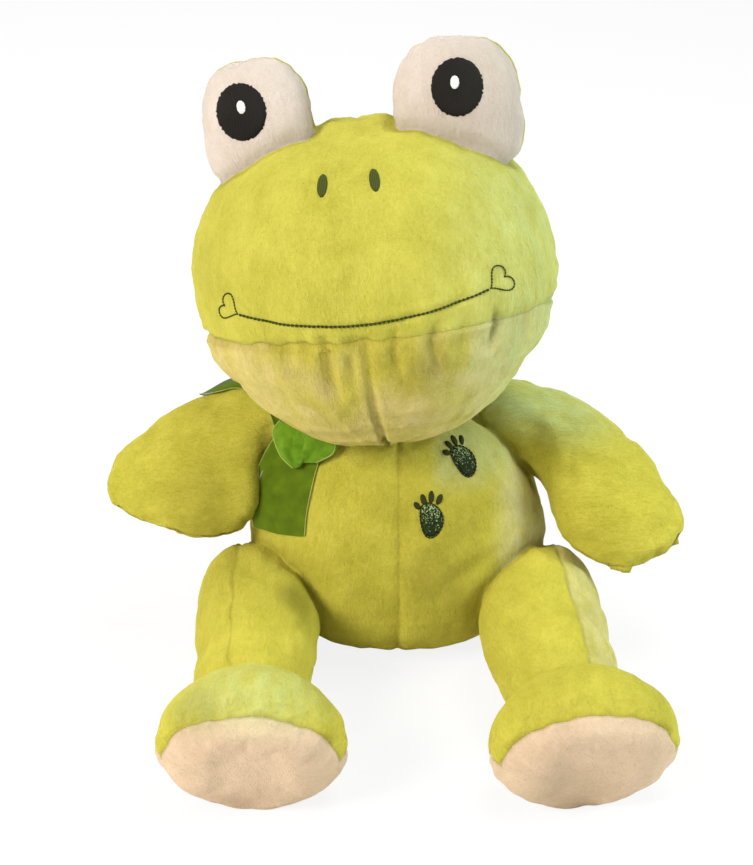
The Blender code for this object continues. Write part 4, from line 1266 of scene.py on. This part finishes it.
def make_lights():
    """Each lamp's place, size in metres, power in watts and colour."""
    lamp("key", (-0.80, -0.70, 0.75), 0.5, 16.0, (1.0, 0.96, 0.90))
    lamp("top", (0.25, -0.05, 1.2), 0.6, 7.0, (0.95, 1.0, 0.97))
    lamp("side", (1.05, -0.15, 0.50), 0.6, 10.0, (0.86, 0.98, 1.0))
    lamp("rim", (-0.3, 0.9, 0.8), 0.7, 4.0)


def make_camera():
    data = bpy.data.cameras.new("camera")
    data.sensor_fit = "HORIZONTAL"
    data.sensor_width = SENSOR
    data.lens = LENS
    camera = new_object("camera", data)
    camera.location = CAMERA_PLACE
    camera.rotation_euler = (math.radians(CAMERA_PITCH), 0, 0)
    SCENE.camera = camera


def under_room(head):
    """Lifts the head's underside to where the CAD leaves room for the shoulders and the ribbon."""
    names = ("face_panel", "jaw_panel_left", "jaw_panel_right", "head_back_left", "head_back_right", "head_stuffing")
    tree = tree_of(*(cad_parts[name].data for name in names))
    middle = HEAD_PLACE.to_translation()
    share = np.ones(len(head.points))
    for index, place in enumerate(head.points):
        way = Vector(place) - middle
        if way.z > 0:
            continue
        hit = tree.ray_cast(middle + way * 1.6, -way.normalized())[0]
        if hit is not None:
            share[index] = min(1, ((hit - middle).length + 0.4 * MM) / way.length)
    share[share > 0.985] = 1
    for step in range(6):
        total = np.zeros(len(share))
        count = np.zeros(len(share))
        for index in range(4):
            for other in (1, 3):
                np.add.at(total, head.faces[:, index], share[head.faces[:, (index + other) % 4]])
                np.add.at(count, head.faces[:, index], 1)
        share = np.minimum(share, total / count) if step < 3 else total / count
    centre = np.array(middle)
    head.points = centre + (head.points - centre) * share[:, None]


# Where cloth is sewn to another form: the drawn in form, the other one, and the width and depth in
# millimetres. The names of limbs go without their side.
PINCHES = (
    ("head", "eye_", 3, 1.2),
    ("eye_", "head", 3, 1.5),
    ("torso", "arm_", 4, 1.5),
    ("arm_", "torso", 4, 1.8),
    ("torso", "leg_", 4, 1.5),
    ("leg_", "torso", 4, 1.5),
    ("leg_", "foot_", 4, 1.5),
    ("foot_", "leg_", 4, 1.8),
)


def make_skins():
    """The cloth of every form: swollen, with its lumps, seams, puckers, creases and colours."""
    skins = {
        "torso": Skin(torso_form(), 2),
        "head": Skin(head_form(), 2),
    }
    for side in SIDE_SIGNS:
        skins["eye_" + side] = Skin(eye_form(side), 1)
        skins["arm_" + side] = Skin(arm_form(side), 1)
        skins["leg_" + side] = Skin(leg_form(side), 2)
        skins["foot_" + side] = Skin(foot_form(side), 2)
    stuff(list(skins.values()))
    for skin in skins.values():
        skin.refine()
    under_room(skins["head"])
    for seed, skin in enumerate(skins.values()):
        skin.lumps(16 * MM, 0.8 * MM, seed + 1)
        skin.lumps(6 * MM, 0.3 * MM, seed + 20)
    for name, skin in skins.items():
        skin.sew(0.15 if name == "head" else 0.4)
    for side in SIDE_SIGNS:
        before = {}
        names = ["head", "torso"] + [part + side for part in ("eye_", "arm_", "leg_", "foot_")]
        for name in names:
            before[name] = skins[name].tree()
        for name, other, width, depth in PINCHES:
            name, other = (full if full in names else full + side for full in (name, other))
            skins[name].pinch(before[other], width * MM, depth * MM)
    add_folds(skins)
    for name in ("torso", "leg_left", "leg_right", "foot_left", "foot_right"):
        skins[name].rest_on_floor()
    colour_skins(skins)
    return skins


def main():
    make_camera()
    make_lights()
    make_stage()
    skins = make_skins()
    torso = skins["torso"].piece("torso_skin", "body", None, "torso")
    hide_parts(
        "seat_panel", "belly_panel_left", "belly_panel_right", "back_panel_left", "back_panel_right",
        "torso_stuffing",
    )
    face = skins["head"].piece("head_skin", "face", [FACE, 3, 4], "head")
    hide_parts("face_panel", "head_back_left", "head_back_right", "head_stuffing")
    jaw = skins["head"].piece("jaw_skin", "jaw", [JAW_LEFT, JAW_RIGHT], "head")
    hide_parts("jaw_panel_left", "jaw_panel_right")
    for side in SIDE_SIGNS:
        eye, arm, leg, foot = (skins[part + side] for part in ("eye_", "arm_", "leg_", "foot_"))
        front = eye.piece("eye_front_skin_" + side, "cream", [EYE_FRONT], "head")
        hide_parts("eye_front_" + side, "eye_stuffing_" + side)
        back = eye.piece("eye_back_skin_" + side, "face", [EYE_BACK], "head")
        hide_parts("eye_back_" + side)
        whole = arm.piece("arm_skin_" + side, "body")
        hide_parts("arm_front_" + side, "arm_back_" + side, "arm_stuffing_" + side)
        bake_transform(whole)
        whole = leg.piece("leg_skin_" + side, "body")
        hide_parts("leg_outer_" + side, "leg_inner_" + side, "leg_stuffing_" + side)
        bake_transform(whole)
        upper = foot.piece("foot_upper_skin_" + side, "body", [FOOT_UPPER], "leg_" + side)
        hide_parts("foot_upper_" + side, "foot_stuffing_" + side)
        sole = foot.piece("sole_skin_" + side, "sole", [SOLE], "leg_" + side)
        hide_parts("sole_" + side)
    make_neck()
    make_face(skins)
    belly = skins["torso"].tree()
    make_footprint("footprint_upper", 0.420, 0.876, 35, belly)
    make_footprint("footprint_lower", 0.203, 0.690, 8, belly)
    make_band(skins)
    make_tail(skins)
    make_knot()
    for side in SIDE_SIGNS:
        make_loop(side)


def make_neck():
    """The gathered cloth of the neck opening, over the neck's filling."""
    model = bmesh.new()
    bmesh.ops.create_uvsphere(model, u_segments=64, v_segments=32, radius=18.6 * MM)
    model.verts.index_update()
    points = []
    for vertex in model.verts:
        angle = math.atan2(vertex.co.y, vertex.co.x)
        gather = 1 - 0.025 * (0.5 + 0.5 * math.sin(17 * angle + 2 * math.sin(3 * angle)))
        points.append(tuple(vertex.co * gather + NECK))
    faces = [tuple(vertex.index for vertex in face.verts) for face in model.faces]
    model.free()
    neck = finished("neck_skin", points, faces, points, "body", "neck")
    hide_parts("neck_stuffing")


# Creases that the photograph shows: the form, the pixels along it, its width and depth in millimetres, and
# how dark the painted shade in it is.
CREASES = (
    ("head", ((238, 313), (270, 325), (304, 327), (354, 328), (404, 318), (454, 303), (495, 281)), 1.3, 0.7, 0.0),
    ("head", ((325, 332), (327, 360), (336, 396)), 2.6, 2.1, 0.25),
    ("head", ((352, 338), (350, 360), (354, 385)), 2.2, 1.5, 0.15),
    ("head", ((395, 328), (394, 352), (404, 392)), 2.6, 2.1, 0.3),
    ("head", ((496, 306), (497, 324), (490, 346)), 2.6, 2.4, 0.7),
    ("head", ((466, 316), (464, 334), (456, 366)), 2.4, 1.3, 0.0),
    ("head", ((436, 322), (432, 342), (436, 372)), 2.8, 1.6, 0.2),
    ("head", ((282, 338), (284, 352), (292, 376)), 2.6, 1.0, 0.0),
    ("head", ((365, 215), (410, 222), (450, 236), (486, 252)), 2.0, 0.6, 0.0),
    ("head", ((400, 205), (440, 222), (476, 244)), 2.4, 0.5, 0.0),
    ("torso", ((265, 540), (280, 575), (300, 605), (318, 625)), 3.0, 1.2, 0.0),
    ("torso", ((430, 600), (470, 570), (505, 540)), 4.0, 1.0, 0.0),
    ("torso", ((440, 560), (475, 535), (510, 505)), 4.5, 0.9, 0.0),
    ("leg_right", ((233, 553), (250, 570), (270, 585)), 3.0, 1.2, 0.0),
)
WRIST_BULGE = ((253, 460), (247, 480), (246, 508), (242, 520))


def add_folds(skins):
    for name, pixels, width, depth, dark in CREASES:
        skins[name].fold(pixels, width * MM, depth * MM, dark)
    skins["arm_right"].fold(WRIST_BULGE, 7.0 * MM, -4.4 * MM, bank=0.0)


# Painted shade where the cloth looks darker in the photograph: a form, a pixel of the photograph, how far
# the patch reaches and how dark it is.
SHADED = (
    ("torso", (440, 578), 22 * MM, 0.5),
    ("torso", (395, 500), 16 * MM, 0.2),
    ("leg_right", (296, 600), 14 * MM, 0.6),
    ("arm_right", (205, 508), 24 * MM, 0.35),
    ("eye_left", (500, 100), 40 * MM, 0.3),
    ("foot_right", (190, 712), 16 * MM, 0.3),
    ("head", (430, 372), 15 * MM, 0.35),
    ("foot_left", (565, 790), 22 * MM, 0.25),
)


def ramp(skin, axis, start, end):
    """From 0 at one place along an axis, in millimetres, to 1 at another."""
    return smooth_step(skin.points[:, "xyz".index(axis)], start * MM, end * MM)


def colour_skins(skins):
    """Painted light and shade in the cloth's colour: paler and cooler patches where light falls, the paler ones
    partly panels whose pile lies another way, and painted shade over the belly and in patches.
    """
    torso, head, leg, arm, foot = (skins[name] for name in ("torso", "head", "leg_left", "arm_left", "foot_right"))
    # Painted light: the torso's side towards +x paler, and its chest paler and cooler.
    chest = ramp(torso, "x", 12, 20) * ramp(torso, "z", 78, 90)
    torso.pale = np.maximum(0.75 * ramp(torso, "x", 36, 52) * ramp(torso, "y", 10, -20), 0.25 * chest)
    torso.painted_cool_light = 0.45 * chest
    # Painted shade over the belly.
    belly = ramp(torso, "x", 6, 26) * ramp(torso, "x", 44, 30) * ramp(torso, "z", 40, 60) * ramp(torso, "z", 86, 72)
    torso.seam = np.maximum(torso.seam, 0.3 * belly)
    # Painted light on the left leg's outer panel, partly pile that lies another way.
    leg.pale = 0.55 * leg.on_panels([0])
    # Painted light on the tops of the left arm and of the right foot.
    arm.painted_cool_light = 0.8 * ramp(arm, "z", 86, 106)
    foot.painted_cool_light = 0.5 * ramp(foot, "z", 38, 56)
    # Painted light on the head's side towards +x; on the jaw, painted sheen and light towards both sides and the
    # bottom, over patches of pile that lies another way.
    jaw = head.on_panels([JAW_LEFT, JAW_RIGHT])
    patch = 0.35 * bumps(head.points, 11 * MM, 41)
    right = smooth_step(head.points[:, 0] + 14 * patch * MM, 22 * MM, 36 * MM)
    head.painted_cool_light = 0.6 * ramp(head, "x", 0, 60) + 0.2 * jaw * right
    light = patch + 0.85 * right + 0.3 * ramp(head, "x", -30, -72) + 0.4 * ramp(head, "z", 165, 135)
    head.pale = jaw * np.clip(light, 0, 1)
    # Painted shade, one patch at a time.
    for name, pixel, reach, depth in SHADED:
        skin = skins[name]
        spot = skin.tree().ray_cast(CAMERA_PLACE, sight(pixel))[0]
        away = np.linalg.norm(skin.points - np.array(spot), axis=1)
        skin.seam = np.maximum(skin.seam, depth * smooth_step(-away, -reach, -0.3 * reach))


SCENE.view_settings.view_transform = "Standard"
main()
